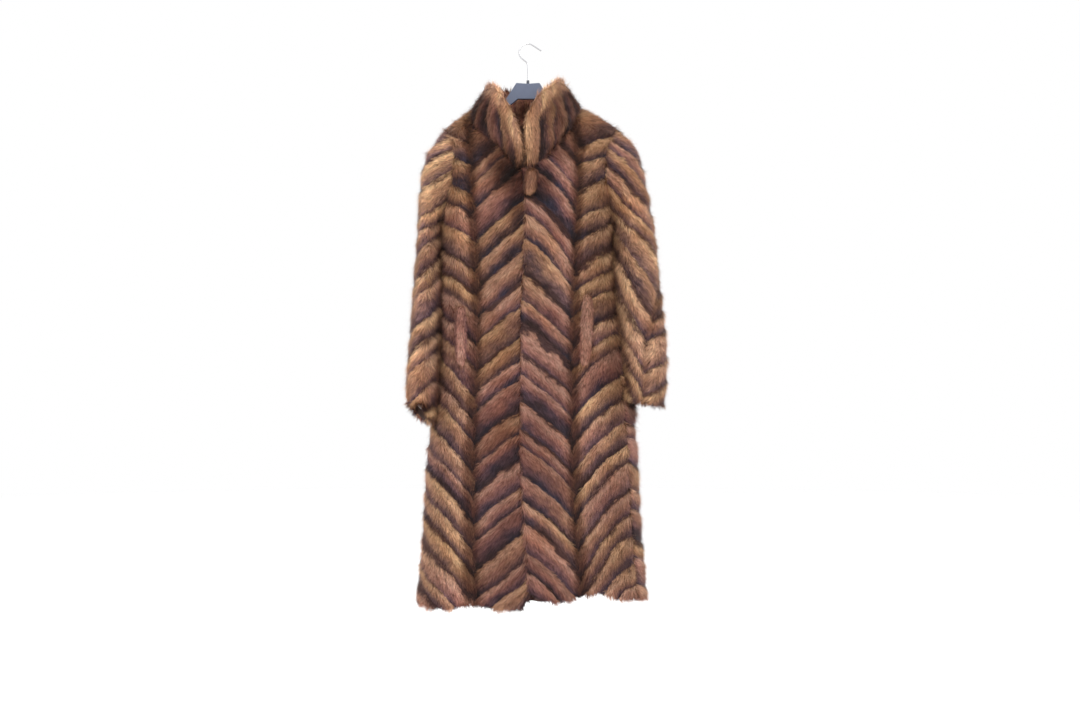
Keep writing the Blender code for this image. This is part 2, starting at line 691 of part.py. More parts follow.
def neck_stretch(first, last):
    """Neckline points from one row of its table to another, just below the line, turned into -2 to 2."""
    step = 1 if last > first else -1
    points = NECKLINE[np.arange(first * NECK_STEPS, last * NECK_STEPS + step, step)]
    if min(first, last) >= CENTRE_BACK_ROW:
        points[:, 0] += 4
    points[:, 1] -= SEAM_GAP / 2
    return points


def hem_stretch(start, end, left):
    """Hem points between two turns, without the first."""
    turns = np.linspace(start, end, HEM_STEPS + 1)[1:]
    return np.column_stack([turns, hem_height(turns, left)])


def long_side(valley, ridge, rise, share, left, top, bottom=None):
    """A panel's long side from the hem, or from bottom, up to top, ends included."""
    if bottom is None:
        bottom = HEM_RIGHT_ROWS[0][1]
        for _ in range(6):
            bottom = float(hem_height(seam_end(valley, ridge, share, bottom)[0, 0], left))
    return np.vstack(
        [
            seam_end(valley, ridge, share, bottom),
            seam_points(valley, ridge, rise, share, bottom, top),
            seam_end(valley, ridge, share, top),
        ]
    )


def centre_panel(name, valley, ridge, left, top_points, layer, finish):
    """A panel from a V seam to the front edge or the centre back."""
    near, far = EDGE_SHARE, 1 - EDGE_SHARE
    seam_side = long_side(valley, ridge, "centre", near, left, top_points[0, 1])
    middle_side = long_side(valley, ridge, "centre", far, left, top_points[-1, 1])
    hem = hem_stretch(middle_side[0, 0], seam_side[0, 0], left)[:-1]
    outline = np.vstack([seam_side, top_points[1:-1], middle_side[::-1], hem])
    columns = UNDERLAP_COLUMNS if layer == "under" else ROW_COLUMNS
    rows = body_rows(valley, ridge, "centre", columns)
    behind = [edge_line(past) for past in OVERLAP_BENDS] if layer == "over" else ()
    step = OVERLAP_STEP if layer == "over" else INNER_STEP
    place = body_place(valley, ridge, "centre", layer)
    return panel(name, outline, rows, FLAT, place, finish, step=step, behind=behind)


def edge_line(past):
    """A line down the front, so far past the left front's edge."""
    heights = np.arange(HEM_LEFT_ROWS[0][1], EDGE_TOP, OVERLAP_STEP)
    turns = []
    for height in heights:
        ring = OUTER_FORM[np.abs(HEIGHTS - height).argmin()][FRONT_HALF]
        across = np.interp(height, EDGE["height"], EDGE["across"]) + past
        turns.append(np.interp(across, ring[:, 0], TURNS[FRONT_HALF]))
    return np.column_stack([turns, heights])


def side_panel(name, side, front, valley, ridge, princess_row, shoulder_row):
    """A panel from a V seam to the side seam, with half of an armhole and the shoulder."""
    left = side > 0
    near, far = EDGE_SHARE, 1 - EDGE_SHARE
    neck = neck_stretch(princess_row, shoulder_row)
    degrees = np.arange(0, 181, ARM_STEP) if front else np.arange(360, 179, -ARM_STEP)
    loop = armhole(side, degrees, ARM_GAP / 2)
    lean = -1 if front else 1  # which way along the turns the panel lies from the side line
    gap = SEAM_GAP / 2 / QUARTER_WIDTH
    loop[[0, -1], 0] = side * (1 + lean * gap)
    loop[-1, 0] += line_at(ridge, loop[-1, 1]) - side
    neck[-1, 0] = side * (1 + lean * gap)
    inner_side = long_side(valley, ridge, "side", near, left, neck[0, 1])
    outer_side = long_side(valley, ridge, "side", far, left, loop[-1, 1])
    outer_side[-1] = loop[-1]
    hem = hem_stretch(outer_side[0, 0], inner_side[0, 0], left)[:-1]
    outline = np.vstack([inner_side, neck[1:], loop[:-1], outer_side[::-1], hem])
    rows = body_rows(valley, ridge, "side")
    finish = FUR_DARK if front else FUR_BROWN
    return panel(name, outline, rows, FLAT, body_place(valley, ridge, "side", None), finish)


def build_body():
    last = len(NECK_ROWS) - 1
    right_end = [[line_at("underlap", UNDERLAP_TOP), UNDERLAP_TOP]]
    left_end = [[line_at("edge", EDGE_TOP), EDGE_TOP]]
    right_top = np.vstack([neck_stretch(RIGHT_PRINCESS_ROW, 0), right_end])
    left_top = np.vstack([neck_stretch(LEFT_PRINCESS_ROW, last), left_end])
    back_right_top = neck_stretch(BACK_RIGHT_ROW, CENTRE_BACK_ROW)
    back_left_top = neck_stretch(BACK_LEFT_ROW, CENTRE_BACK_ROW)
    for name, valley, ridge, left, top, layer, finish in (
        ("front_right_centre", "right_princess", "underlap", False, right_top, "under", FUR_BROWN),
        ("front_left_centre", "left_princess", "edge", True, left_top, "over", FUR_BROWN),
        ("back_right_centre", "back_right_princess", "centre_back_right", False, back_right_top, None, FUR_DARK),
        ("back_left_centre", "back_left_princess", "centre_back_left", True, back_left_top, None, FUR_DARK),
    ):
        centre_panel(name, valley, ridge, left, top, layer, finish)
    for word, side, princess_row, back_row, shoulder_row in (
        ("right", -1, RIGHT_PRINCESS_ROW, BACK_RIGHT_ROW, RIGHT_SHOULDER_ROW),
        ("left", 1, LEFT_PRINCESS_ROW, BACK_LEFT_ROW, LEFT_SHOULDER_ROW),
    ):
        ridge = f"{word}_side"
        side_panel(f"front_{word}_side", side, True, f"{word}_princess", ridge, princess_row, shoulder_row)
        side_panel(f"back_{word}_side", side, False, f"back_{word}_princess", ridge, back_row, shoulder_row)


# ---------- sleeves ----------

SLEEVE_ROUND = 0.065  # a sleeve's mean radius: turns its angle into a width
SLEEVE_INNER_STEP = 0.038
SLEEVE_CALM = 0.035  # the strips come up over this length below the armhole
SLEEVE_TURN_SHARE = 0.4  # where the wall has half turned over, from the armhole to the first ring
SLEEVE_COLUMN_STEP, SLEEVE_COLUMN_NEAR = 24, 11  # degrees between its columns of points, and from a seam
SLEEVE_BENDS = slice(1, 5)  # the rings that its inner side follows too


def sleeve_forms(side):
    """The sleeve's outer and inner forms as rings of points, and each ring's place down the sleeve.

    The first ring is the armhole, on the body's two forms. Under the arm the wall turns over there, from
    the body's way out to the sleeve's, with its back upwards.
    """
    rings = table(SLEEVE_COLUMNS, SLEEVE_RIGHT_ROWS if side < 0 else SLEEVE_LEFT_ROWS)
    degrees = np.arange(0, 360 + RING_STEP, RING_STEP)
    angle = np.radians(degrees)
    sweep = np.sign(np.cos(angle)) * np.abs(np.cos(angle)) ** (2 / SLEEVE_SQUARENESS)
    deep = np.sign(np.sin(angle)) * np.abs(np.sin(angle)) ** (2 / SLEEVE_SQUARENESS)
    head = armhole(side, degrees)
    head_outer, head_inner = (on_form(form, head[:, 0], head[:, 1]) for form in (OUTER_FORM, INNER_FORM))
    made = []
    for i in range(len(rings["deep"])):
        outer = np.array([rings["outer_x"][i], -rings["forward"][i], rings["outer_z"][i]])
        inner = np.array([rings["inner_x"][i], -rings["forward"][i], rings["inner_z"][i]])
        ring = (outer + inner) / 2 + sweep[:, None] * (outer - inner) / 2
        ring[:, 1] -= deep * rings["deep"][i]
        ring[:, 2] += deep * rings["pitch"][i]
        made.append(ring)
    turning = head_outer + SLEEVE_TURN_SHARE * (made[0] - head_outer)
    outer = np.array([head_outer, turning, *made])
    around = np.roll(outer[:, :-1], -1, axis=1) - np.roll(outer[:, :-1], 1, axis=1)
    around = np.concatenate([around, around[:, :1]], axis=1)
    out = unit(np.cross(np.gradient(outer, axis=0), around)) * -side
    inner = outer - WALL * out
    under = np.maximum(-np.cos(angle), 0)[:, None] * unit(head_outer[:-1].mean(axis=0) - head_outer)
    inner[1] = outer[1] + WALL * unit(unit(head_inner - head_outer) - out[1] + 2 * under)
    inner[0] = head_inner
    middles = outer[:, :-1].mean(axis=1)
    down = np.concatenate([[0], np.cumsum(np.linalg.norm(np.diff(middles, axis=0), axis=1))])
    return outer, inner, down


def sleeve_panel(name, side, start, end, forms, finish):
    """A sleeve panel between two V seams, given in degrees round the sleeve."""
    outer_rings, inner_rings, down = forms
    levels = np.linspace(0, down[-1], 160)
    outer_form, inner_form = (smooth(down, rings, levels) for rings in (outer_rings, inner_rings))
    turns = np.array(SLEEVE_TURNS[side], float)
    climbs = np.array([0, 1, 0, 1, 0]) * SLEEVE_RISE[side]
    scale = np.array([-side * math.radians(SLEEVE_ROUND), 1.0])
    gap = SEAM_GAP / 2 / math.radians(SLEEVE_ROUND)
    first, last = turns[start] + gap, turns[end] - gap

    def climb(degrees):
        return np.interp(degrees, turns, climbs)

    def place(flat):
        degrees, height = np.mod(flat[:, 0], 360), flat[:, 1]
        row = np.clip(-height / down[-1], 0, 1) * (len(levels) - 1)
        column = degrees / RING_STEP
        i = np.clip(row.astype(int), 0, len(levels) - 2)
        j = np.clip(column.astype(int), 0, outer_form.shape[1] - 2)
        a, b = (row - i)[:, None], (column - j)[:, None]
        outer, inner = (
            (f[i, j] * (1 - b) + f[i, j + 1] * b) * (1 - a) + (f[i + 1, j] * (1 - b) + f[i + 1, j + 1] * b) * a
            for f in (outer_form, inner_form)
        )
        phase = (height - climb(flat[:, 0])) / STRIP
        seams = turns[[0, 2, 4]]
        away = np.abs(flat[:, :1] - seams).min(axis=1) * math.radians(SLEEVE_ROUND)
        return raised(outer, inner, phase, away, 1 - ramp(-height, 0.0, SLEEVE_CALM)), inner

    ridge = turns[start + 1]
    step, near = SLEEVE_COLUMN_STEP, SLEEVE_COLUMN_NEAR
    halves = [np.arange(a + 2 * near, b - near, step) for a, b in ((first, ridge), (ridge, last))]
    columns = np.array([first, *halves[0], ridge, *halves[1], last])
    strips = range(math.floor((-down[-1] - MOST_RISE) / STRIP), 2)
    top, bottom = -ARM_GAP / 2, -down[-1]
    rows, ends = [], []
    for phase in [k + part for k in strips for part in ROW_PARTS]:
        height = phase * STRIP + climb(columns)
        ends.append(height[0])
        height = np.where(np.abs(height + NEAR_RIM / 2) < NEAR_RIM / 2, NEAR_RIM / 2, height)
        height = np.where(np.abs(height - bottom) < NEAR_RIM, bottom - NEAR_RIM, height)
        rows.append(np.column_stack([columns, height]))
    bend_heights = -down[SLEEVE_BENDS]
    ends = [h for h in ends if np.abs(h - bend_heights).min() > NEAR_RIM / 2] + list(bend_heights)
    side_heights = [h for h in sorted(ends, reverse=True) if bottom + NEAR_CORNER < h < top - NEAR_CORNER]
    around = np.arange(turns[start] + CUFF_STEP, turns[end] - 1, CUFF_STEP)
    head = np.arange(turns[start] + ARM_STEP, turns[end] - 1, ARM_STEP)
    outline = np.array(
        [(first, top), *((first, h) for h in side_heights), (first, bottom)]
        + [(d, bottom) for d in around]
        + [(last, bottom), *((last, h) for h in side_heights[::-1]), (last, top)]
        + [(d, top) for d in head[::-1]]
    )
    across = np.array([first, *around, last])
    bends = [np.column_stack([across, np.full(len(across), height)]) for height in bend_heights]
    return panel(name, outline, rows, scale, place, finish, bends, SLEEVE_INNER_STEP)


def build_sleeves():
    for side, word in ((-1, "right"), (1, "left")):
        forms = sleeve_forms(side)
        sleeve_panel(f"sleeve_{word}_front", side, 0, 2, forms, FUR_BROWN)
        sleeve_panel(f"sleeve_{word}_back", side, 2, 4, forms, FUR_DARK)


# ---------- collar ----------


def grid_solid(name, outer, inner, finish):
    """A closed wall between two grids of points of the same shape."""
    rows, columns = outer.shape[:2]
    number = np.arange(rows * columns).reshape(rows, columns)
    other = number + rows * columns
    faces = []
    for i in range(rows - 1):
        for j in range(columns - 1):
            faces.append((number[i, j], number[i, j + 1], number[i + 1, j + 1], number[i + 1, j]))
            faces.append((other[i, j], other[i + 1, j], other[i + 1, j + 1], other[i, j + 1]))
    loop = [(0, j) for j in range(columns)] + [(i, columns - 1) for i in range(1, rows)]
    loop += [(rows - 1, j) for j in range(columns - 2, -1, -1)] + [(i, 0) for i in range(rows - 2, 0, -1)]
    for a, b in zip(loop, loop[1:] + loop[:1]):
        faces.append((number[a], other[a], other[b], number[b]))
    return solid(name, np.vstack([outer.reshape(-1, 3), inner.reshape(-1, 3)]), faces, finish)


def collar_grids():
    """The collar's outer and inner points: a row for each level, a column for each neckline point."""
    top = table(COLLAR_COLUMNS, COLLAR_TOP_ROWS)
    top = np.column_stack([top[c] for c in COLLAR_COLUMNS])
    rows = np.arange(len(top))
    top = smooth(rows, top, np.linspace(0, rows[-1], len(NECKLINE)))
    lift = NECKLINE + [0, SEAM_GAP / 2]
    foot_outer, foot_inner = (on_form(form, lift[:, 0], lift[:, 1]) for form in (OUTER_FORM, INNER_FORM))
    over = (1 - ramp(foot_outer[:, 0], UNDERLAP, UNDERLAP + OVERLAP_FADE)) * (np.arange(len(top)) > len(top) / 2)
    out = unit(foot_outer - foot_inner)
    foot_outer = foot_outer + out * EDGE_PUFF * over[:, None]
    foot = (foot_outer + foot_inner) / 2
    levels = np.array(COLLAR_LEVELS)[:, None, None]
    from_end = np.minimum(np.arange(len(top)), np.arange(len(top))[::-1])
    taper = np.interp(from_end, (0, COLLAR_END), (COLLAR_END_WALL, 1.0))[None, :, None]
    rolled = table(ROLL_COLUMNS, ROLL_ROWS)
    share = np.interp(NECKLINE[:, 0], rolled["turn"], rolled["share"])[None, :, None]
    roll = np.sin(math.pi * np.minimum(levels / 0.5, 1.0)) * taper * share
    middle = foot * (1 - levels) + top * levels + out * COLLAR_ROLL * roll
    along = np.gradient(middle, axis=1)
    up = np.gradient(middle, axis=0)
    facing = unit(np.cross(up, along))
    facing *= np.sign((facing * out).sum(axis=2, keepdims=True))
    free = np.minimum(levels / COLLAR_FREE, 1.0) * taper
    facing = unit(facing * free + out * (1 - free))
    half = np.array(COLLAR_HALF_WALL)[:, None, None] * taper
    sunk = COLLAR_RELIEF * (np.arange(len(top)) % NECK_STEPS == 0)[None, :, None]
    outer, inner = middle + facing * (half - sunk * np.sin(math.pi * levels)), middle - facing * half
    outer[0], inner[0] = foot_outer, foot_inner
    return outer, inner


def build_collar():
    outer, inner = collar_grids()
    middle = CENTRE_BACK_ROW * NECK_STEPS
    shift = np.array([SEAM_GAP / 2, 0, 0])
    right, left = slice(0, middle + 1), slice(middle, None)
    grids = {"right": (outer[:, right].copy(), inner[:, right].copy()), "left": (outer[:, left], inner[:, left])}
    for word, sign, column in (("right", -1, -1), ("left", 1, 0)):
        for grid in grids[word]:
            grid[:, column] += sign * shift
        grid_solid(f"collar_{word}", *grids[word], FUR_BROWN)


# ---------- what lies on the fronts ----------


def pillow(name, bottom, top, across, half_width, thick, lean):
    """A puffed fur piece on a front: a flat back just off the pile's tips, a domed face."""
    columns = np.linspace(-1, 1, ON_FRONT_STEPS_ACROSS + 1)
    rows = np.linspace(-1, 1, ON_FRONT_STEPS_ALONG + 1)
    u, v = np.meshgrid(columns, rows)
    # The square grid is drawn in to a round-ended outline.
    narrow = np.sqrt(1 - PILLOW_ROUND_END * np.abs(v) ** 3)
    x = across + half_width * u * narrow + lean * v
    z = (bottom + top) / 2 + (top - bottom) / 2 * v * np.sqrt(1 - PILLOW_ROUND_SIDE * u * u)
    rings = OUTER_FORM[np.abs(HEIGHTS[None] - z.reshape(-1, 1)).argmin(axis=1)][:, FRONT_HALF]
    turn = np.array([np.interp(place, ring[:, 0], TURNS[FRONT_HALF]) for place, ring in zip(x.ravel(), rings)])
    outer, inner = (on_form(form, turn, z.ravel()) for form in (OUTER_FORM, INNER_FORM))
    out = unit(outer - inner)
    over = EDGE_PUFF if name == "front_tab" else 0.0
    dome = np.sqrt((1 - np.abs(u) ** PILLOW_ACROSS) * (1 - np.abs(v) ** PILLOW_ALONG))
    back = outer + out * (over + SEAM_GAP)
    face = back + out * (PILLOW_RIM + thick * dome.ravel())[:, None]
    shape = (*u.shape, 3)
    return grid_solid(name, face.reshape(shape), back.reshape(shape), FUR_LIGHT)


# ---------- hanger ----------


def seat_heights(side, across):
    """How high the hanger may reach at two places across, as a straight line under the shoulder seam."""
    walls = []
    for name in SHOULDER_PIECES:
        word = "left" if side > 0 else "right"
        work = bmesh.new()
        work.from_mesh(bpy.data.objects[name.format(word)].data)
        walls.append(BVHTree.FromBMesh(work))
        work.free()
    found = []
    for x in np.linspace(*across, 9):
        for y in (-HANGER_THICK / 2, 0, HANGER_THICK / 2):
            hits = [wall.ray_cast((side * x, y, HANGER_LOOK_FROM), (0, 0, 1)) for wall in walls]
            found += [(x, hit[0].z) for hit in hits if hit[0]]
    found = np.array(found)
    slope, _ = np.polyfit(found[:, 0], found[:, 1], 1)
    foot = (found[:, 1] - slope * found[:, 0]).min() - HANGER_SEAT_GAP
    return [foot + slope * x for x in across]


def hanger_body():
    """A flat moulded body: the head, and two arms whose upper edges carry the shoulders."""
    arms = []
    for side, reach in ((1, HANGER_REACH_LEFT), (-1, HANGER_REACH_RIGHT)):
        across = (HANGER_SEAT_START, reach)
        seat = [(side * x, z) for x, z in zip(across, seat_heights(side, across))]
        neck = (side * HANGER_NECK[0], HANGER_NECK[1])
        under = [(x, z - HANGER_ARM_DEEP) for x, z in seat[::-1]]
        crotch = [(side * x, z) for x, z in HANGER_CROTCH[::-1]]
        arms.append([neck, *seat, *under, *crotch])
    outline = [HANGER_HEAD[2], *arms[0], *arms[1][::-1], HANGER_HEAD[0], HANGER_HEAD[1]]
    work = bmesh.new()
    face = work.faces.new([work.verts.new((x, -HANGER_THICK / 2, z)) for x, z in outline])
    grown = bmesh.ops.extrude_face_region(work, geom=[face])
    moved = [v for v in grown["geom"] if isinstance(v, bmesh.types.BMVert)]
    bmesh.ops.translate(work, vec=(0, HANGER_THICK, 0), verts=moved)
    bmesh.ops.recalc_face_normals(work, faces=work.faces)
    mesh = bpy.data.meshes.new("hanger_body")
    work.to_mesh(mesh)
    work.free()
    mesh.materials.append(material("moulded plastic, slate", HANGER_BLUE, 0.4))
    made = bpy.data.objects.new("hanger_body", mesh)
    bpy.context.scene.collection.objects.link(made)
    soft = made.modifiers.new("moulded edges", "BEVEL")
    soft.width, soft.segments = HANGER_EDGE, 1
    soft.limit_method, soft.angle_limit = "ANGLE", math.radians(60)
    return made


def hanger_hook(finish):
    """The wire: up from the ferrule, out, and round the bow to a straight tip."""
    middle = HOOK_WIRE - HOOK_RADIUS  # the bow's centre, so that its inside top is the origin's height
    angles = np.radians(np.linspace(HOOK_START, HOOK_END, 16))
    bow = [(HOOK_RADIUS * math.cos(a), middle + HOOK_RADIUS * math.sin(a)) for a in angles]
    foot = HANGER_HEAD[1][1] + FERRULE_TALL + 2 * SEAM_GAP
    route = [(0.0, foot), *HOOK_SHANK, *bow, HOOK_TIP]
    line = bpy.data.curves.new("hanger_hook", "CURVE")
    line.dimensions = "3D"
    line.bevel_depth, line.bevel_resolution, line.use_fill_caps = HOOK_WIRE, 2, True
    spline = line.splines.new("POLY")
    spline.points.add(len(route) - 1)
    for point, (x, z) in zip(spline.points, route):
        point.co = (x, 0, z, 1)
    line.materials.append(finish)
    made = bpy.data.objects.new("hanger_hook", line)
    bpy.context.scene.collection.objects.link(made)
    return made


def hanger_ferrule(finish):
    work = bmesh.new()
    bmesh.ops.create_cone(
        work, segments=24, radius1=FERRULE_RADIUS, radius2=FERRULE_RADIUS * 0.9, depth=FERRULE_TALL, cap_ends=True
    )
    mesh = bpy.data.meshes.new("hanger_ferrule")
    work.to_mesh(mesh)
    work.free()
    mesh.shade_smooth()
    mesh.set_sharp_from_angle(angle=math.radians(40))
    mesh.materials.append(finish)
    made = bpy.data.objects.new("hanger_ferrule", mesh)
    made.location = (0, 0, HANGER_HEAD[1][1] + SEAM_GAP + FERRULE_TALL / 2)
    bpy.context.scene.collection.objects.link(made)
    return made


for old in list(bpy.data.objects):
    bpy.data.objects.remove(old, do_unlink=True)

FUR_BROWN = material("fur, golden brown", PILE_BROWN, 0.75)
FUR_DARK = material("fur, dark brown", PILE_DARK, 0.75)
FUR_LIGHT = material("fur, light brown", PILE_LIGHT, 0.75)
STEEL = material("steel wire", WIRE_STEEL, 0.25, 1.0)

build_body()
build_sleeves()
build_collar()
for row in ON_FRONT_ROWS:
    pillow(*row)
hanger_body()
hanger_hook(STEEL)
hanger_ferrule(material("moulded plastic, dark", FERRULE_DARK, 0.4))
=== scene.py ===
# %% [markdown]
# # A long fur coat on its hanger
#
# A furrier sews a coat like this from narrow pelt strips. The strips slope down to a V seam and up again
# to the next one, so the whole coat is covered with chevrons. What the eye sees is not the skin but the
# pile: hundreds of thousands of glossy hairs that all lie the way the strip runs.
#
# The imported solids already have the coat's form. This lesson makes a finer shell over each of them, works
# out where every point lies in its strip, and then grows the pile on the shells with Geometry Nodes.

# %% Load the frame
import math

import bmesh
import bpy
import numpy as np
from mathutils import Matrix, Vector, kdtree


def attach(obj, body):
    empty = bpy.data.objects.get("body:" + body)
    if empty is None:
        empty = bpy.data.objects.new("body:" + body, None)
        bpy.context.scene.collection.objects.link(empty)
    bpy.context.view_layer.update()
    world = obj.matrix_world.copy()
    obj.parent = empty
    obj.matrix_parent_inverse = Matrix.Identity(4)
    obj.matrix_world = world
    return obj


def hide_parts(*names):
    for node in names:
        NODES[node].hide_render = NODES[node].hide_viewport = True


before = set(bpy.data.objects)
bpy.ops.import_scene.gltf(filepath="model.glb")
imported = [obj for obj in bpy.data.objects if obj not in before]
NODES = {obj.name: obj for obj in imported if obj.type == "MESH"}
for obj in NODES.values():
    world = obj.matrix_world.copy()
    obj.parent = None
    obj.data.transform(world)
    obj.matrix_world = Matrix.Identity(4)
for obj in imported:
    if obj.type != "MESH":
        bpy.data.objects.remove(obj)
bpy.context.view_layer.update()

# %% [markdown]
# ## Colours and shader nodes
#
# Colours are picked as sRGB hex values, because that is how screens and paint charts give them. Blender
# computes light in linear values, so one function turns the first into the second. A second function adds
# a node with its settings and links, in materials and in Geometry Nodes alike, and returns the output that
# the next node needs. So each line of a material below is one step of its recipe.


# %% Helpers for every material
def linear(hex_colour):
    """sRGB hex to linear red, green, blue and alpha."""
    parts = [int(hex_colour[i : i + 2], 16) / 255 for i in (1, 3, 5)]
    return tuple(p / 12.92 if p <= 0.04045 else ((p + 0.055) / 1.055) ** 2.4 for p in parts) + (1.0,)


def feed(tree, node, inputs):
    """Gives a node's inputs, by name or in order, a number, a colour or another node's output each."""
    for name, value in inputs.items() if isinstance(inputs, dict) else enumerate(inputs):
        if isinstance(value, bpy.types.NodeSocket):
            tree.links.new(value, node.inputs[name])
        else:
            node.inputs[name].default_value = value


def add(tree, kind, inputs=(), output=0, **settings):
    """Adds a node with its settings and links, and returns one of its outputs."""
    node = tree.nodes.new(kind)
    for name, value in settings.items():
        setattr(node, name, value)
    feed(tree, node, inputs)
    return node.outputs[output]


def new_material(name):
    """A material with a Principled shader, and its node tree."""
    made = bpy.data.materials.new(name)
    made.use_nodes = True
    return made, made.node_tree, made.node_tree.nodes["Principled BSDF"]


def link_in(scene_object):
    """Puts an object in the scene's collection, and returns it."""
    bpy.context.scene.collection.objects.link(scene_object)
    return scene_object


# %% [markdown]
# ## The camera, the light and the floor
#
# The coat hangs from the origin, which is the inside of the hook's top. The camera stands four metres in
# front at the height of the hips, so the view is nearly flat. A white world gives even light from all
# sides, and four soft lights shape the strips. The strongest stands high in front, because fur needs light
# from above to show its crests.

# %% Stage
MIDDLE = Vector((0.029, 0.0, -0.758))
FLOOR_HEIGHT = -1.75

camera = link_in(bpy.data.objects.new("camera", bpy.data.cameras.new("camera")))
camera.location = MIDDLE + Vector((0, -4.0, 0))
camera.rotation_euler = (math.radians(90), 0, 0)
camera.data.lens = 55.5
camera.data.sensor_width = 36
bpy.context.scene.camera = camera

LIGHT_COLUMNS = ("name", "place", "size", "watts")
LIGHT_ROWS = (
    ("key light", (-0.6, -2.4, 1.9), 1.2, 105),
    ("fill light", (2.2, -2.4, 0.4), 2.0, 25),
    ("back light", (-1.2, 2.6, 1.7), 1.4, 30),
    ("side light", (2.6, 1.0, 1.0), 1.6, 35),
)
for row in LIGHT_ROWS:
    light = dict(zip(LIGHT_COLUMNS, row))
    lamp = bpy.data.lights.new(light["name"], "AREA")
    lamp.energy, lamp.size, lamp.shape = light["watts"], light["size"], "DISK"
    holder = link_in(bpy.data.objects.new(light["name"], lamp))
    holder.location = light["place"]
    holder.rotation_euler = (MIDDLE - Vector(light["place"])).to_track_quat("-Z", "Y").to_euler()

world = bpy.data.worlds.new("white studio")
world.use_nodes = True
background = world.node_tree.nodes["Background"]
feed(world.node_tree, background, {"Color": (1.0, 1.0, 1.0, 1.0), "Strength": 1.0})
bpy.context.scene.world = world
bpy.context.scene.view_settings.view_transform = "Standard"

floor_mesh = bpy.data.meshes.new("floor")
sheet = bmesh.new()
bmesh.ops.create_circle(sheet, cap_ends=True, segments=64, radius=9.0)
bmesh.ops.translate(sheet, vec=(0, 0, FLOOR_HEIGHT), verts=sheet.verts)
sheet.to_mesh(floor_mesh)
sheet.free()
floor = link_in(bpy.data.objects.new("floor", floor_mesh))
paper, paper_tree, paper_shader = new_material("paper, matt white backdrop roll")
feed(paper_tree, paper_shader, {"Base Color": linear("#FDFDFD"), "Roughness": 0.9})
floor_mesh.materials.append(paper)
print("camera, four lights and a floor")

# %% [markdown]
# ## The form under the fur
#
# The coat's body is a stack of level sections, each a rounded oval with its own reach to the right, left,
# front and back. A place on it is given by two numbers: the height, and the turn, which is 0 at the centre
# front, -1 at the wearer's right side, 1 at the left side and 2 at the centre back. The sleeves are rings.
#
# These are the same tables that the solids were made from, so a point of a solid can be traced back to its
# turn and height, and from there to its place in a strip.

# %% Sizes of the strips and tables of the body
STRIP = 0.060
SQUARENESS = 2.5
QUARTER_STEPS = 32

BODY_COLUMNS = ("height", "right", "left", "front", "back")
BODY_ROWS = (
    (-1.370, 0.272, 0.289, 0.132, 0.114),
    (-1.250, 0.261, 0.279, 0.126, 0.109),
    (-1.150, 0.253, 0.271, 0.121, 0.105),
    (-1.050, 0.248, 0.266, 0.117, 0.101),
    (-0.950, 0.239, 0.260, 0.112, 0.097),
    (-0.900, 0.228, 0.252, 0.110, 0.094),
    (-0.820, 0.217, 0.241, 0.107, 0.091),
    (-0.700, 0.213, 0.228, 0.104, 0.088),
    (-0.550, 0.212, 0.208, 0.103, 0.087),
    (-0.445, 0.208, 0.202, 0.103, 0.088),
    (-0.360, 0.207, 0.206, 0.099, 0.087),
    (-0.290, 0.206, 0.212, 0.088, 0.081),
    (-0.240, 0.205, 0.216, 0.075, 0.072),
    (-0.203, 0.198, 0.214, 0.062, 0.062),
    (-0.188, 0.178, 0.190, 0.056, 0.057),
    (-0.173, 0.154, 0.163, 0.049, 0.052),
    (-0.158, 0.134, 0.136, 0.043, 0.046),
    (-0.140, 0.112, 0.112, 0.036, 0.040),
)
PRINCESS_COLUMNS = ("height", "right", "left")
PRINCESS_ROWS = (
    (-1.370, -0.125, 0.128),
    (-1.240, -0.130, 0.122),
    (-1.100, -0.132, 0.111),
    (-0.950, -0.131, 0.107),
    (-0.800, -0.125, 0.106),
    (-0.650, -0.120, 0.108),
    (-0.520, -0.125, 0.112),
    (-0.400, -0.133, 0.118),
    (-0.300, -0.139, 0.121),
    (-0.240, -0.142, 0.121),
    (-0.190, -0.140, 0.110),
    (-0.140, -0.110, 0.085),
)
SIDE_COLUMNS = ("height", "right", "left")
SIDE_ROWS = (
    (-1.370, 1.0, 0.80),
    (-0.900, 1.0, 0.82),
    (-0.700, 1.0, 0.86),
    (-0.560, 1.0, 0.94),
    (-0.460, 1.0, 1.0),
    (-0.140, 1.0, 1.0),
)
EDGE_COLUMNS = ("height", "across")
EDGE_ROWS = (
    (-1.370, 0.006),
    (-1.274, -0.002),
    (-1.152, -0.010),
    (-1.050, -0.017),
    (-0.950, -0.019),
    (-0.760, -0.017),
    (-0.650, -0.017),
    (-0.550, -0.012),
    (-0.440, -0.007),
    (-0.380, -0.008),
    (-0.290, -0.017),
    (-0.140, -0.020),
)
UNDERLAP = 0.045
RISE_COLUMNS = ("height", "centre", "side")
RISE_ROWS = (
    (-1.370, 0.122, 0.150),
    (-1.200, 0.124, 0.152),
    (-1.020, 0.120, 0.139),
    (-0.830, 0.112, 0.113),
    (-0.730, 0.105, 0.106),
    (-0.640, 0.104, 0.084),
    (-0.540, 0.116, 0.066),
    (-0.420, 0.130, 0.052),
    (-0.300, 0.132, 0.038),
    (-0.140, 0.132, 0.030),
)


# %% Curves through the tables
def table(columns, rows):
    """The rows as one array for each named column."""
    return {name: np.array([row[i] for row in rows]) for i, name in enumerate(columns)}


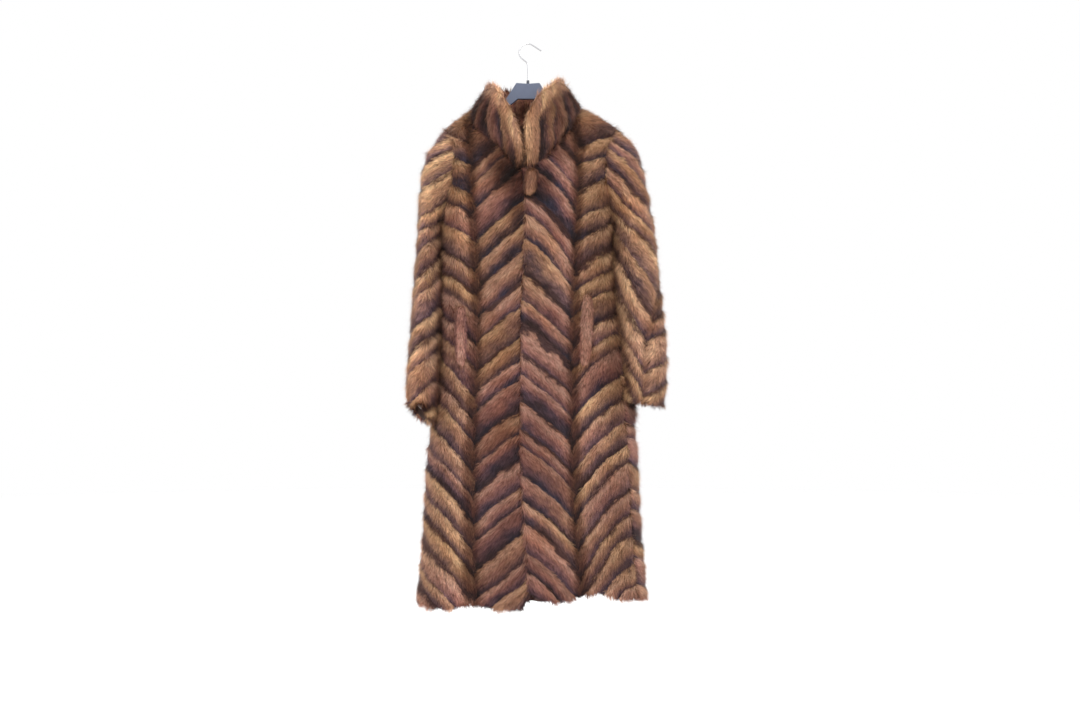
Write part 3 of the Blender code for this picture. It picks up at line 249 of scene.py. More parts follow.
def smooth(knots, values, at):
    """Values at the given places on a smooth curve through the knots."""
    knots, values = np.asarray(knots, float), np.asarray(values, float)
    at = np.clip(np.asarray(at, float), knots[0], knots[-1])
    slopes = np.gradient(values, knots, axis=0)
    i = np.clip(np.searchsorted(knots, at, side="right") - 1, 0, len(knots) - 2)
    step = knots[i + 1] - knots[i]
    share = (at - knots[i]) / step
    shape = share.shape + (1,) * (values.ndim - 1)
    step, share = step.reshape(shape), share.reshape(shape)
    start, end = values[i], values[i + 1]
    leave, arrive = slopes[i] * step, slopes[i + 1] * step
    bend = 2 * (start - end) + leave + arrive
    return start + share * (leave + share * (3 * (end - start) - 2 * leave - arrive + share * bend))


def ramp(value, start, end):
    """0 at start, 1 at end, with soft ends."""
    share = np.clip((value - start) / (end - start), 0, 1)
    return share * share * (3 - 2 * share)


def unit(vectors):
    """The vectors, each one metre long."""
    return vectors / np.maximum(np.linalg.norm(vectors, axis=-1, keepdims=True), 1e-12)


# %% The body's form as a grid of points
BODY = table(BODY_COLUMNS, BODY_ROWS)
HEIGHTS = np.linspace(BODY["height"][0], BODY["height"][-1], 320)
TURNS = np.linspace(-2, 2, 4 * QUARTER_STEPS + 1)


def quarter(across, deep):
    """A quarter of a level section, evenly spaced from the middle to the side."""
    angle = np.linspace(0, math.pi / 2, 160)
    x = across * np.abs(np.sin(angle)) ** (2 / SQUARENESS)
    y = deep * np.abs(np.cos(angle)) ** (2 / SQUARENESS)
    walked = np.concatenate([[0], np.cumsum(np.hypot(np.diff(x), np.diff(y)))])
    even = np.linspace(0, walked[-1], QUARTER_STEPS + 1)
    return np.interp(even, walked, x), np.interp(even, walked, y)


def section(height):
    """Points once round the coat at one height, from the centre back by the right side."""
    right, left, front, back = (float(smooth(BODY["height"], BODY[c], height)) for c in BODY_COLUMNS[1:])
    parts = []
    for side, across, deep, face, turned in (
        (-1, right, back, 1, False),
        (-1, right, front, -1, True),
        (1, left, front, -1, False),
        (1, left, back, 1, True),
    ):
        x, y = quarter(across, deep)
        points = np.stack([side * x, face * y], axis=1)
        parts.append(points[::-1][:-1] if turned else points[:-1])
    ring = np.concatenate(parts + [parts[0][:1]])
    return np.column_stack([ring, np.full(len(ring), height)])


BODY_FORM = np.array([section(height) for height in HEIGHTS])
print("body form:", BODY_FORM.shape[:2], "points")


# %% The seams as lines on the form
def turn_line(rows, columns, column, limit):
    """Turns along HEIGHTS for a line on the front that a table gives by its place across."""
    given = table(columns, rows)
    across = smooth(given["height"], given[column], HEIGHTS)
    front = slice(QUARTER_STEPS, 3 * QUARTER_STEPS + 1)
    found = np.array([np.interp(x, ring[front, 0], TURNS[front]) for x, ring in zip(across, BODY_FORM)])
    return np.clip(found, min(0, limit), max(0, limit)) if limit else found


SIDES = table(SIDE_COLUMNS, SIDE_ROWS)
EDGE = table(EDGE_COLUMNS, EDGE_ROWS)
RISE = table(RISE_COLUMNS, RISE_ROWS)
UNDERLAP_ROWS = [(height, across + UNDERLAP) for height, across in EDGE_ROWS]
LINES = {
    "right_side": -smooth(SIDES["height"], SIDES["right"], HEIGHTS),
    "left_side": smooth(SIDES["height"], SIDES["left"], HEIGHTS),
    "right_princess": turn_line(PRINCESS_ROWS, PRINCESS_COLUMNS, "right", -1),
    "left_princess": turn_line(PRINCESS_ROWS, PRINCESS_COLUMNS, "left", 1),
    "edge": turn_line(EDGE_ROWS, EDGE_COLUMNS, "across", 0),
    "underlap": turn_line(UNDERLAP_ROWS, EDGE_COLUMNS, "across", 0),
    "back_right_princess": np.full(len(HEIGHTS), -1.5),
    "back_left_princess": np.full(len(HEIGHTS), 1.5),
    "centre_back_right": np.full(len(HEIGHTS), -2.0),
    "centre_back_left": np.full(len(HEIGHTS), 2.0),
}
print("lines on the form:", len(LINES))

# %% Tables of the sleeves
SLEEVE_COLUMNS = ("outer_x", "outer_z", "inner_x", "inner_z", "deep", "forward", "pitch")
SLEEVE_RIGHT_ROWS = (
    (-0.2205, -0.2290, -0.2110, -0.4470, 0.062, 0.002, 0.000),
    (-0.2430, -0.2620, -0.2125, -0.4560, 0.064, 0.003, 0.000),
    (-0.2560, -0.3040, -0.2140, -0.4660, 0.066, 0.005, 0.000),
    (-0.2625, -0.3600, -0.2145, -0.4800, 0.067, 0.008, 0.000),
    (-0.2660, -0.4200, -0.2140, -0.5000, 0.068, 0.013, 0.000),
    (-0.2695, -0.4850, -0.2135, -0.5300, 0.068, 0.020, 0.000),
    (-0.2740, -0.5550, -0.2135, -0.5750, 0.068, 0.028, 0.000),
    (-0.2790, -0.6300, -0.2145, -0.6400, 0.067, 0.034, 0.002),
    (-0.2845, -0.7100, -0.2180, -0.7150, 0.065, 0.039, 0.004),
    (-0.2910, -0.7900, -0.2230, -0.8000, 0.063, 0.044, 0.009),
    (-0.2915, -0.8350, -0.2250, -0.8520, 0.061, 0.048, 0.013),
    (-0.2890, -0.8650, -0.2270, -0.8950, 0.060, 0.050, 0.016),
)
SLEEVE_LEFT_ROWS = (
    (0.2350, -0.2230, 0.2085, -0.4470, 0.060, 0.002, 0.000),
    (0.2620, -0.2580, 0.2100, -0.4560, 0.061, 0.003, 0.000),
    (0.2765, -0.3030, 0.2110, -0.4660, 0.061, 0.005, 0.000),
    (0.2880, -0.3580, 0.2110, -0.4800, 0.060, 0.008, 0.000),
    (0.2990, -0.4230, 0.2105, -0.5000, 0.059, 0.013, 0.000),
    (0.3090, -0.4890, 0.2100, -0.5300, 0.057, 0.021, 0.000),
    (0.3160, -0.5640, 0.2120, -0.5750, 0.055, 0.028, 0.000),
    (0.3230, -0.6390, 0.2200, -0.6400, 0.053, 0.034, 0.000),
    (0.3300, -0.7200, 0.2305, -0.7150, 0.051, 0.039, 0.000),
    (0.3310, -0.7850, 0.2375, -0.7800, 0.050, 0.044, 0.000),
    (0.3290, -0.8300, 0.2390, -0.8200, 0.049, 0.048, 0.002),
    (0.3270, -0.8640, 0.2360, -0.8480, 0.048, 0.050, 0.004),
)
RING_STEP = 2.5  # degrees between the points of a ring
ARMHOLE_COLUMNS = ("side", "top", "bottom", "front", "back")
ARMHOLE_ROWS = ((-1, -0.205, -0.440, 0.235, 0.210), (1, -0.205, -0.440, 0.215, 0.210))
ARMHOLE_EGG = 0.25
SLEEVE_TURN_SHARE = 0.4
SLEEVE_SQUARENESS = 2.2
SLEEVE_CALM = 0.035
SLEEVE_DEEP = {"right": 1.42, "left": 1.20}
# Where the V between the strips lies at each height, in degrees from the sleeve's outer line towards the
# front, and how steeply the strips climb away from it, in metres a degree. The left arm hangs turned, so its
# V winds round to the front.
SLEEVE_V_COLUMNS = ("height", "degrees", "climb")
SLEEVE_V_ROWS = {
    "right": ((-0.92, -20, 0.00056), (-0.55, -24, 0.00050), (-0.20, -28, 0.00034)),
    "left": (
        (-0.90, 104, 0.00128),
        (-0.76, 98, 0.00125),
        (-0.70, 88, 0.00112),
        (-0.64, 58, 0.00100),
        (-0.58, 24, 0.00094),
        (-0.50, -6, 0.00092),
        (-0.42, -20, 0.00092),
        (-0.20, -26, 0.00080),
    ),
}
SLEEVE_ROUND = 0.045  # the sleeve's mean radius
SLEEVE_RIDGE = 172
# Where the V and the ridge lie at the back, first while the front V is at -20 degrees, then at 105.
SLEEVE_FRONT_V = (-20, 105)
SLEEVE_BACK_V = (318, 262)
SLEEVE_BACK_RIDGE = (329, 345)
SLEEVE_BACK_CLIMB = 0.0004
# On the sleeve's head the strips run straight over it, this steeply from the front.
SLEEVE_TOP_SLOPE = {"right": 0.6, "left": 1.45}
SLEEVE_TOP = (-0.50, -0.38)
SLEEVE_LEAST_REACH = 0.19


# %% The sleeves' forms
def on_form(turn, height):
    """The body form's point at a turn and a height, read between the nearest four."""
    row = (height - HEIGHTS[0]) / (HEIGHTS[1] - HEIGHTS[0])
    column = np.mod(turn + 2, 4) * QUARTER_STEPS
    i = np.clip(row.astype(int), 0, len(HEIGHTS) - 2)
    j = np.clip(column.astype(int), 0, len(TURNS) - 2)
    a, b = (row - i)[:, None], (column - j)[:, None]
    low = BODY_FORM[i, j] * (1 - b) + BODY_FORM[i, j + 1] * b
    high = BODY_FORM[i + 1, j] * (1 - b) + BODY_FORM[i + 1, j + 1] * b
    return low * (1 - a) + high * a


def armhole(side, angle):
    """The armhole's points on the body form, from its top towards the front."""
    holes = table(ARMHOLE_COLUMNS, ARMHOLE_ROWS)
    top, bottom, front, back = (holes[c][holes["side"] == side][0] for c in ARMHOLE_COLUMNS[1:])
    height = (top + bottom) / 2 + (top - bottom) / 2 * np.cos(angle)
    wide = np.where(np.sin(angle) > 0, front, back) * np.sin(angle) * (1 + ARMHOLE_EGG * np.cos(angle))
    return on_form(side * (1 - wide), height)


def sleeve_form(word):
    """The sleeve as a grid of points, ring by ring, and each ring's place down the sleeve."""
    rings = table(SLEEVE_COLUMNS, SLEEVE_RIGHT_ROWS if word == "right" else SLEEVE_LEFT_ROWS)
    angle = np.radians(np.arange(0, 360 + RING_STEP, RING_STEP))
    sweep = np.sign(np.cos(angle)) * np.abs(np.cos(angle)) ** (2 / SLEEVE_SQUARENESS)
    deep = np.sign(np.sin(angle)) * np.abs(np.sin(angle)) ** (2 / SLEEVE_SQUARENESS)
    made = []
    for outer_x, outer_z, inner_x, inner_z, half_deep, forward, pitch in zip(*rings.values()):
        outer, inner = np.array([outer_x, -forward, outer_z]), np.array([inner_x, -forward, inner_z])
        ring = (outer + inner) / 2 + sweep[:, None] * (outer - inner) / 2
        ring[:, 1] -= deep * half_deep
        ring[:, 2] += deep * pitch
        made.append(ring)
    head = armhole(-1 if word == "right" else 1, angle)
    made = np.array([head, head + SLEEVE_TURN_SHARE * (made[0] - head), *made])
    middles = made[:, :-1].mean(axis=1)
    down = np.concatenate([[0], np.cumsum(np.linalg.norm(np.diff(middles, axis=0), axis=1))])
    even = np.linspace(0, down[-1], 160)
    return smooth(down, made, even), even


SLEEVE_FORMS = {word: sleeve_form(word) for word in ("right", "left")}
print("sleeves:", {word: round(float(form[1][-1]), 3) for word, form in SLEEVE_FORMS.items()}, "m")


# %% [markdown]
# ## From a point back to its place in a strip
#
# A search tree finds the form's nearest grid point. The small step that is left is then measured along the
# form's own two directions, which gives the row and column with their fractions. This first-order step
# makes the result smooth, so no grid shows in the colours.


# %% Tracing a point back
STRIP_BEND = {"centre": 0.35, "side": 0.70}
SIDE_WIDTH = 0.13


def traced(form, points):
    """Row and column of each point's nearest place on the form, the directions there, and the rest."""
    rows, columns = form.shape[:2]
    tree = kdtree.KDTree(rows * columns)
    for i, point in enumerate(form.reshape(-1, 3)):
        tree.insert(point, i)
    tree.balance()
    nearest = np.array([tree.find(point)[1] for point in points])
    i, j = np.divmod(nearest, columns)
    down, across = np.gradient(form, axis=(0, 1))
    down, across, away = down[i, j], across[i, j], points - form[i, j]
    row = i + (away * down).sum(1) / (down * down).sum(1)
    column = j + (away * across).sum(1) / (across * across).sum(1)
    return row, column, down, across, away


def body_strips(points, valley, ridge, rise):
    """Each point's place in its strips, the way its hair lies, the way out of the form and its depth.

    The strips are bent like the veins of a leaf: steep at the V seam, flatter towards the ridge.
    """
    row, column, up, across, away = traced(BODY_FORM, points)
    height = HEIGHTS[0] + row * (HEIGHTS[1] - HEIGHTS[0])
    turn = column / QUARTER_STEPS - 2
    low, high = (np.interp(height, HEIGHTS, LINES[line]) for line in (valley, ridge))
    turn = np.where(turn - low > 2, turn - 4, np.where(turn - low < -2, turn + 4, turn))
    share = (turn - low) / (high - low)
    climb, bend = np.interp(height, RISE["height"], RISE[rise]), STRIP_BEND[rise]
    bent = share * (1 + bend - bend * np.clip(share, 0, 1))
    phase = (height - bent * climb) / STRIP
    slope = climb * np.clip(1 + bend - 2 * bend * share, 0.2, 2)
    up_metre, across_turn = up / (HEIGHTS[1] - HEIGHTS[0]), across * QUARTER_STEPS
    along = -(across_turn * (high - low)[:, None] + up_metre * slope[:, None])
    out = unit(np.cross(across, up))
    return phase, share, unit(along), -unit(up), out, (away * out).sum(axis=1)


def sleeve_strips(points, word):
    """The same for a sleeve, where V and ridge take turns round it and the V winds down the arm."""
    form, even = SLEEVE_FORMS[word]
    step = even[1] - even[0]
    row, column, down, across, away = traced(form, points)
    depth, height = row * step, points[:, 2]
    rows = table(SLEEVE_V_COLUMNS, SLEEVE_V_ROWS[word])
    low, rate = (np.interp(height, rows["height"], rows[c]) for c in SLEEVE_V_COLUMNS[1:])
    degrees = np.mod(column * RING_STEP - low, 360) + low
    back, last = (np.interp(low, SLEEVE_FRONT_V, pair) for pair in (SLEEVE_BACK_V, SLEEVE_BACK_RIDGE))
    knots = np.stack([low, np.full(len(low), SLEEVE_RIDGE), back, last, low + 360])
    back_climb = (low + 360 - last) * SLEEVE_BACK_CLIMB
    climbs = np.stack([0 * low, (SLEEVE_RIDGE - low) * rate, 0 * low, back_climb, 0 * low])
    stretch = np.clip((degrees >= knots).sum(axis=0) - 1, 0, 3)
    at = np.arange(len(low))
    start, end = knots[stretch, at], knots[stretch + 1, at]
    slope = (climbs[stretch + 1, at] - climbs[stretch, at]) / (end - start)
    climb = climbs[stretch, at] + slope * (degrees - start)
    top, steep = ramp(height, *SLEEVE_TOP), SLEEVE_TOP_SLOPE[word]
    # How far the sleeve reaches from the coat's middle at each height, from levels 10 mm apart.
    levels = np.arange(-0.95, 0.0, 0.01)
    flat = form.reshape(-1, 3)
    widest = [np.abs(flat[np.abs(flat[:, 2] - level) < 0.008, 0]).max(initial=0.0) for level in levels]
    widest = np.maximum(np.interp(height, levels, widest), SLEEVE_LEAST_REACH)
    climb += top * (steep * (widest - np.abs(points[:, 0])) - climb)
    from_valley = np.where(slope > 0, degrees - start, end - degrees) * math.radians(SLEEVE_ROUND)
    down_metre, across_degree = down / step, across / RING_STEP
    fall = (slope - across_degree[:, 2]) / np.minimum(down_metre[:, 2], -0.3)
    along = -np.sign(slope)[:, None] * (across_degree + down_metre * fall[:, None])
    side = np.sign(points[:, :1])
    along = unit(along) * (1 - top[:, None]) + top[:, None] * (side * [1.0, 0, 0] + [0, 0, -steep])
    out = unit(np.cross(down, across)) * (1 if word == "right" else -1)
    sunk = (away * out).sum(axis=1)
    return (height - climb) / STRIP, from_valley, unit(along), unit(down), out, sunk, depth, degrees


# %% [markdown]
# ## A shell for each cut piece
#
# The solid of each panel is a wall with a point every few centimetres. Its shell is a copy with every edge
# cut in three, whose outer points are then moved in or out to the strips' true relief: a join that lies
# low, and a crest that is fuller towards its upper edge. The shell keeps a few millimetres below the form,
# because the pile on it fills the rest. Each point also stores what the pile has to know: the way the hair
# lies, the way out, the place in the strip, and how light, rosy and long the hair is there.
#
# The relief could be a displacement in the material, but then only a render would have it. Points that are
# moved are there in the mesh too, and the hair that roots on them follows.

# %% Relief of the strips
PILE_ROOM = 0.0025
RELIEF = 0.0060
SEAM_GROOVE = 0.0060
SEAM_GROOVE_WIDTH = 0.011
CREST = 0.84
WANDER = 0.085  # of a strip's width


def strip_height(phase):
    """0 at the join between two strips, 1 on the crest, which lies close under the upper edge."""
    share = np.mod(phase, 1.0)
    below = 1 - (1 - np.minimum(share / CREST, 1)) ** 1.6
    above = 1 - np.maximum((share - CREST) / (1 - CREST), 0) ** 2
    return below * above


print("strips:", 1000 * STRIP, "mm wide, and", 1000 * RELIEF, "mm from join to crest")


# %% The joins wander
def wander(points):
    """How far a join strays from its line at each point, from -1 to 1: no furrier's seam is straight."""
    x, y, z = points.T
    return (
        0.5 * np.sin(31 * x + 17 * y - 9 * z + 1.3)
        + 0.3 * np.sin(67 * z + 43 * x + 0.4)
        + 0.2 * np.sin(139 * x - 101 * z + 89 * y)
    )


# %% Store values on a mesh's points
def store(mesh, name, values):
    """A point attribute: numbers, or vectors where each value has three parts."""
    values = np.ascontiguousarray(values, np.float32)
    vectors = values.ndim == 2
    layer = mesh.attributes.new(name, "FLOAT_VECTOR" if vectors else "FLOAT", "POINT")
    layer.data.foreach_set("vector" if vectors else "value", values.ravel())


def read_vectors(values, name, count):
    """Vectors read from a mesh's points, normals or attribute."""
    found = np.empty(count * 3, np.float32)
    values.foreach_get(name, found)
    return found.reshape(-1, 3)


def point_array(mesh):
    """The mesh's points."""
    return read_vectors(mesh.vertices, "co", len(mesh.vertices)).astype(float)


def normal_array(mesh):
    """The normals at the mesh's points."""
    return read_vectors(mesh.vertex_normals, "vector", len(mesh.vertices)).astype(float)


def set_points(mesh, points):
    """Moves the mesh's points."""
    mesh.vertices.foreach_set("co", np.ascontiguousarray(points, np.float32).ravel())
    mesh.update()


# %% A finer copy of a solid
SHELL_CUTS = 2
MERGED_WITHIN = 1e-5


def finer_copy(node, name):
    """The node's mesh with its points merged and every edge cut in three."""
    mesh = bpy.data.meshes.new(name)
    work = bmesh.new()
    work.from_mesh(NODES[node].data)
    bmesh.ops.remove_doubles(work, verts=work.verts, dist=MERGED_WITHIN)
    bmesh.ops.subdivide_edges(work, edges=work.edges, cuts=SHELL_CUTS, use_grid_fill=True)
    bmesh.ops.triangulate(work, faces=work.faces)
    work.to_mesh(mesh)
    work.free()
    mesh.shade_smooth()
    return link_in(bpy.data.objects.new(name, mesh))


# %% [markdown]
# ## Fur as a material
#
# Mink and sable hair is a smooth, glossy fibre with a strong but soft highlight. Each hair is painted deep
# near the skin and light at the tip, as the shade down in the pile. Along each strip the colour runs from
# golden brown at the upper edge over a reddish brown to a band that is almost black, which is the grotzen,
# the dark line that ran down the animal's back. Part of the strip's colour is painted light: a painted
# highlight on the crest just under the upper edge, painted shade in the joins, and in places a painted blue
# sheen on the band.
#
# All this could be painted on a texture map, but then half a million hairs would need the right place on
# it. Here the shader works the colour out from the numbers that each hair takes from its root, so it follows
# the strips wherever hair grows.

# %% Colours of a strip, from its lower join to its upper one
# The stops rise from dark to light towards the upper join. This is partly the fur's own browns and partly
# painted light: the darkest stops at both ends are painted shade in the joins, and the light stops near 0.86
# a painted highlight on the crest.
GOLD_STOPS = (
    (0.00, "#3A2420"),
    (0.07, "#553A37"),
    (0.24, "#6D4E48"),
    (0.44, "#8A634F"),
    (0.66, "#A67A5B"),
    (0.86, "#BC9570"),
    (0.96, "#B08863"),
    (1.00, "#4A2E26"),
)
ROSE_STOPS = (
    (0.00, "#33262A"),
    (0.08, "#4E3B44"),
    (0.26, "#68494F"),
    (0.46, "#815750"),
    (0.66, "#9A6A5C"),
    (0.86, "#B08674"),
    (0.96, "#A87A66"),
    (1.00, "#4A3230"),
)
BAND_BROWN = "#34201B"
BAND_BLUE_SHEEN = "#2F2C3C"
RUST = "#FFE2C4"
print("stops:", len(GOLD_STOPS), "golden and", len(ROSE_STOPS), "rosy")


# %% Where a point lies in its strip
def strip_number(tree, read, factor, offset):
    """A random number for each strip, the same all along it."""
    whole = add(tree, "ShaderNodeMath", (read["phase"],), operation="FLOOR")
    seed = add(tree, "ShaderNodeMath", (whole, factor, offset), operation="MULTIPLY_ADD")
    seed = add(tree, "ShaderNodeMath", (seed, read["family"]), operation="ADD")
    return add(tree, "ShaderNodeTexWhiteNoise", {"W": seed}, "Value", noise_dimensions="1D")


def streaks(tree, read):
    """Streaks 3 mm wide and 25 mm long, along the strip's own directions, with the hair leaning across."""
    across = add(tree, "ShaderNodeMath", (read["phase"], STRIP), operation="MULTIPLY")
    across = add(tree, "ShaderNodeMath", (read["run"], 0.35, across), operation="MULTIPLY_ADD")
    across = add(tree, "ShaderNodeMath", (across, 300.0), operation="MULTIPLY")
    along = add(tree, "ShaderNodeMath", (read["run"], 40.0), operation="MULTIPLY")
    place = add(tree, "ShaderNodeCombineXYZ", (across, along, read["family"]))
    return add(tree, "ShaderNodeTexNoise", {"Vector": place, "Scale": 1.0, "Detail": 3.0})


def strip_share(tree, read, patches, streak):
    """The place in the strip, from 0 in the dark band to 1, with the band's edge uneven and frayed."""
    share = add(tree, "ShaderNodeMath", (read["phase"],), operation="FRACT")
    by_strip = strip_number(tree, read, 1.37, 3.1)
    for source, amount, offset in ((patches, 0.62, -0.31), (streak, 0.44, -0.22), (by_strip, 0.34, -0.15)):
        moved = add(tree, "ShaderNodeMath", (source, amount, offset), operation="MULTIPLY_ADD")
        share = add(tree, "ShaderNodeMath", (moved, share), operation="ADD")
    # Where the fur is calm, as on the collar's edge, all of it is the strip's light middle.
    rest = add(tree, "ShaderNodeMath", (0.62, share), operation="SUBTRACT")
    calm = (rest, read["calm"], share)
    return add(tree, "ShaderNodeMath", calm, operation="MULTIPLY_ADD", use_clamp=True)


# %% The strip's two families of brown
def browns(tree, read, share, patches):
    """The golden and the rosy ramp, mixed strip by strip and in larger patches, 150 mm across."""
    families = []
    for stops in (GOLD_STOPS, ROSE_STOPS):
        families.append(add(tree, "ShaderNodeValToRGB", (share,)))
        elements = families[-1].node.color_ramp.elements
        while len(elements) < len(stops):
            elements.new(0.5)
        for element, (at, hex_colour) in zip(elements, stops):
            element.position, element.color = at, linear(hex_colour)
    by_strip = strip_number(tree, read, 2.71, 0.0)
    rosy = add(tree, "ShaderNodeMath", (by_strip, 0.8, read["rose"]), operation="MULTIPLY_ADD")
    rosy = add(tree, "ShaderNodeMath", (patches, 1.2, rosy), operation="MULTIPLY_ADD")
    rosy = add(tree, "ShaderNodeMath", (rosy, -0.72), operation="ADD")
    rosy = add(tree, "ShaderNodeMath", (rosy, 1.9), operation="MULTIPLY", use_clamp=True)
    return add(tree, "ShaderNodeMix", {0: rosy, 6: families[0], 7: families[1]}, 2, data_type="RGBA")


def banded(tree, read, share, patches, colour):
    """The colour with the strip's lower third darkened to the band, which in patches takes a painted blue
    sheen.
    """
    # Painted sheen: in patches the band is drawn blue and a little darker, as the gloss on its dark hair.
    blue = add(tree, "ShaderNodeMath", (patches, 5.0, -2.2), operation="MULTIPLY_ADD", use_clamp=True)
    tones = {0: blue, 6: linear(BAND_BROWN), 7: linear(BAND_BLUE_SHEEN)}
    band = add(tree, "ShaderNodeMix", tones, 2, data_type="RGBA")
    above = add(tree, "ShaderNodeMath", (share, 2.3), operation="MULTIPLY", use_clamp=True)
    below = add(tree, "ShaderNodeMath", (1.0, above), operation="SUBTRACT")
    strong = add(tree, "ShaderNodeMath", (blue, 0.35, read["band"]), operation="MULTIPLY_ADD")
    dark = add(tree, "ShaderNodeMath", (below, strong), operation="MULTIPLY", use_clamp=True)
    return add(tree, "ShaderNodeMix", {0: dark, 6: colour, 7: band}, 2, data_type="RGBA")


# %% The fur's colour at a point
# Soft patches: how many there are to a metre, and how much detail they have.
PATCH_COLUMNS = ("name", "scale", "detail")
PATCH_ROWS = (
    ("band", 19.0, 3.0),
    ("rosy", 6.5, 1.0),
    # where the dark band takes its painted blue sheen
    ("blue", 11.0, 2.0),
    ("depth", 14.0, 1.0),
    ("rust", 9.0, 2.0),
)


def fur_colour(tree, read):
    """The strip's colour at a point."""
    place = add(tree, "ShaderNodeTexCoord", output="Object")
    patches = {}
    for row in PATCH_ROWS:
        patch = dict(zip(PATCH_COLUMNS, row))
        inputs = {"Vector": place, "Scale": patch["scale"], "Detail": patch["detail"]}
        patches[patch["name"]] = add(tree, "ShaderNodeTexNoise", inputs)
    streak = streaks(tree, read)
    share = strip_share(tree, read, patches["band"], streak)
    colour = browns(tree, read, share, patches["rosy"])
    colour = banded(tree, read, share, patches["blue"], colour)
    # Strips, streaks and patches differ in depth too.
    depth = read["shade"]
    by_strip = strip_number(tree, read, 5.3, 7.7)
    parts = ((by_strip, 0.40, 0.87), (streak, 1.10, 0.47), (patches["depth"], 0.8, 0.60))
    for source, amount, least in parts:
        part = add(tree, "ShaderNodeMath", (source, amount, least), operation="MULTIPLY_ADD")
        depth = add(tree, "ShaderNodeMath", (depth, part), operation="MULTIPLY")
    # In places the brown is a warm rust.
    where = (patches["rust"], 5.0, -2.6)
    where = add(tree, "ShaderNodeMath", where, operation="MULTIPLY_ADD", use_clamp=True)
    half = add(tree, "ShaderNodeMath", (where, 0.5), operation="MULTIPLY")
    tones = {0: half, 6: colour, 7: linear(RUST)}
    colour = add(tree, "ShaderNodeMix", tones, 2, data_type="RGBA", blend_type="MULTIPLY")
    # Deep fur is redder than light fur, because less green and blue comes back out of it.
    red, blue = (add(tree, "ShaderNodeMath", (depth, power), operation="POWER") for power in (0.82, 1.08))
    tones = {0: 1.0, 6: colour, 7: add(tree, "ShaderNodeCombineXYZ", (red, depth, blue))}
    return add(tree, "ShaderNodeMix", tones, 2, data_type="RGBA", blend_type="MULTIPLY")


# %% Guard hair, undercoat and lining
SKIN_NUMBERS = ("phase", "run", "calm", "family", "rose", "band", "shade")
HAIR_NUMBERS = ("hair", "tip")


def read_numbers(tree, names):
    """The numbers that each point or hair stores, by their names."""
    kind = "ShaderNodeAttribute"
    return {name: add(tree, kind, output="Fac", attribute_name=name) for name in names}


def pile_material():
    """Mink pile, brushed: a glossy fibre, painted deep at the root and light at the tip as shade down in the
    pile.
    """
    made, tree, shader = new_material("mink pile, brushed")
    read = read_numbers(tree, SKIN_NUMBERS + HAIR_NUMBERS)
    hair = add(tree, "ShaderNodeMath", (read["hair"], 0.96, 0.54), operation="MULTIPLY_ADD")
    # Painted shade: each hair is darker towards its root, where less light gets down into the pile.
    tip = add(tree, "ShaderNodeMath", (read["tip"], 0.50, 0.62), operation="MULTIPLY_ADD")
    depth = add(tree, "ShaderNodeMath", (hair, tip), operation="MULTIPLY")
    tones = {0: 1.0, 6: fur_colour(tree, read), 7: depth}
    colour = add(tree, "ShaderNodeMix", tones, 2, data_type="RGBA", blend_type="MULTIPLY")
    look = {"Base Color": colour, "Roughness": 0.62, "Specular IOR Level": 0.22}
    sheen = {"Sheen Weight": 0.06, "Sheen Roughness": 0.45, "Sheen Tint": linear("#E8C8A8")}
    feed(tree, shader, {**look, **sheen})
    return made


def undercoat_material():
    """The short wool under the guard hair: the same colours, much darker, because little light gets down."""
    made, tree, shader = new_material("mink undercoat, dense wool")
    tones = {0: 1.0, 6: fur_colour(tree, read_numbers(tree, SKIN_NUMBERS)), 7: linear("#A89C92")}
    colour = add(tree, "ShaderNodeMix", tones, 2, data_type="RGBA", blend_type="MULTIPLY")
    place = add(tree, "ShaderNodeTexCoord", output="Object")
    # Tufts 3 mm across.
    tufts = add(tree, "ShaderNodeTexNoise", {"Vector": place, "Scale": 330.0, "Detail": 2.0})
    bump = add(tree, "ShaderNodeBump", {"Height": tufts, "Strength": 0.5, "Distance": 0.001})
    look = {"Base Color": colour, "Normal": bump, "Roughness": 0.9, "Specular IOR Level": 0.1}
    feed(tree, shader, look)
    return made


def lining_material():
    """Satin lining, woven from acetate: smooth floats that give a broad soft gloss, here dark brown."""
    made, tree, shader = new_material("acetate satin lining, woven")
    place = add(tree, "ShaderNodeTexCoord", output="Object")
    soft = add(tree, "ShaderNodeTexNoise", {"Vector": place, "Scale": 9.0, "Detail": 2.0})
    tones = {0: soft, 6: linear("#3A2A24"), 7: linear("#4C372E")}
    colour = add(tree, "ShaderNodeMix", tones, 2, data_type="RGBA")
    # Real threads are 0.4 mm apart. These are 2 mm apart, so that they show.
    waves = {"Vector": place, "Scale": 157.0}
    threads = add(tree, "ShaderNodeTexWave", waves, "Fac", bands_direction="Z")
    bump = add(tree, "ShaderNodeBump", {"Height": threads, "Strength": 0.15, "Distance": 0.0005})
    look = {"Base Color": colour, "Normal": bump, "Roughness": 0.52, "Specular IOR Level": 0.25}
    feed(tree, shader, look)
    return made


PILE, UNDERCOAT, LINING = pile_material(), undercoat_material(), lining_material()
print("fur materials:", PILE.name, "|", UNDERCOAT.name, "|", LINING.name)


# %% [markdown]
# ## Growing the pile
#
# A hair here is one long narrow triangle, as wide as a small lock of real hairs: from a step away the eye
# reads locks, not single hairs. A Geometry Nodes tree scatters roots on a shell, turns a triangle at each
# root so that it lies along the nap and lifts a little off the skin, and makes it all one plain mesh. One
# hair in eight stands up more, as guard hairs do: they make the soft edge of the coat.
#
# Blender's own hair curves would be finer, but they aren't faces, and a finished part has to be. So each
# lock has as few faces as it can, which is one, and there are enough of them to hide the skin.

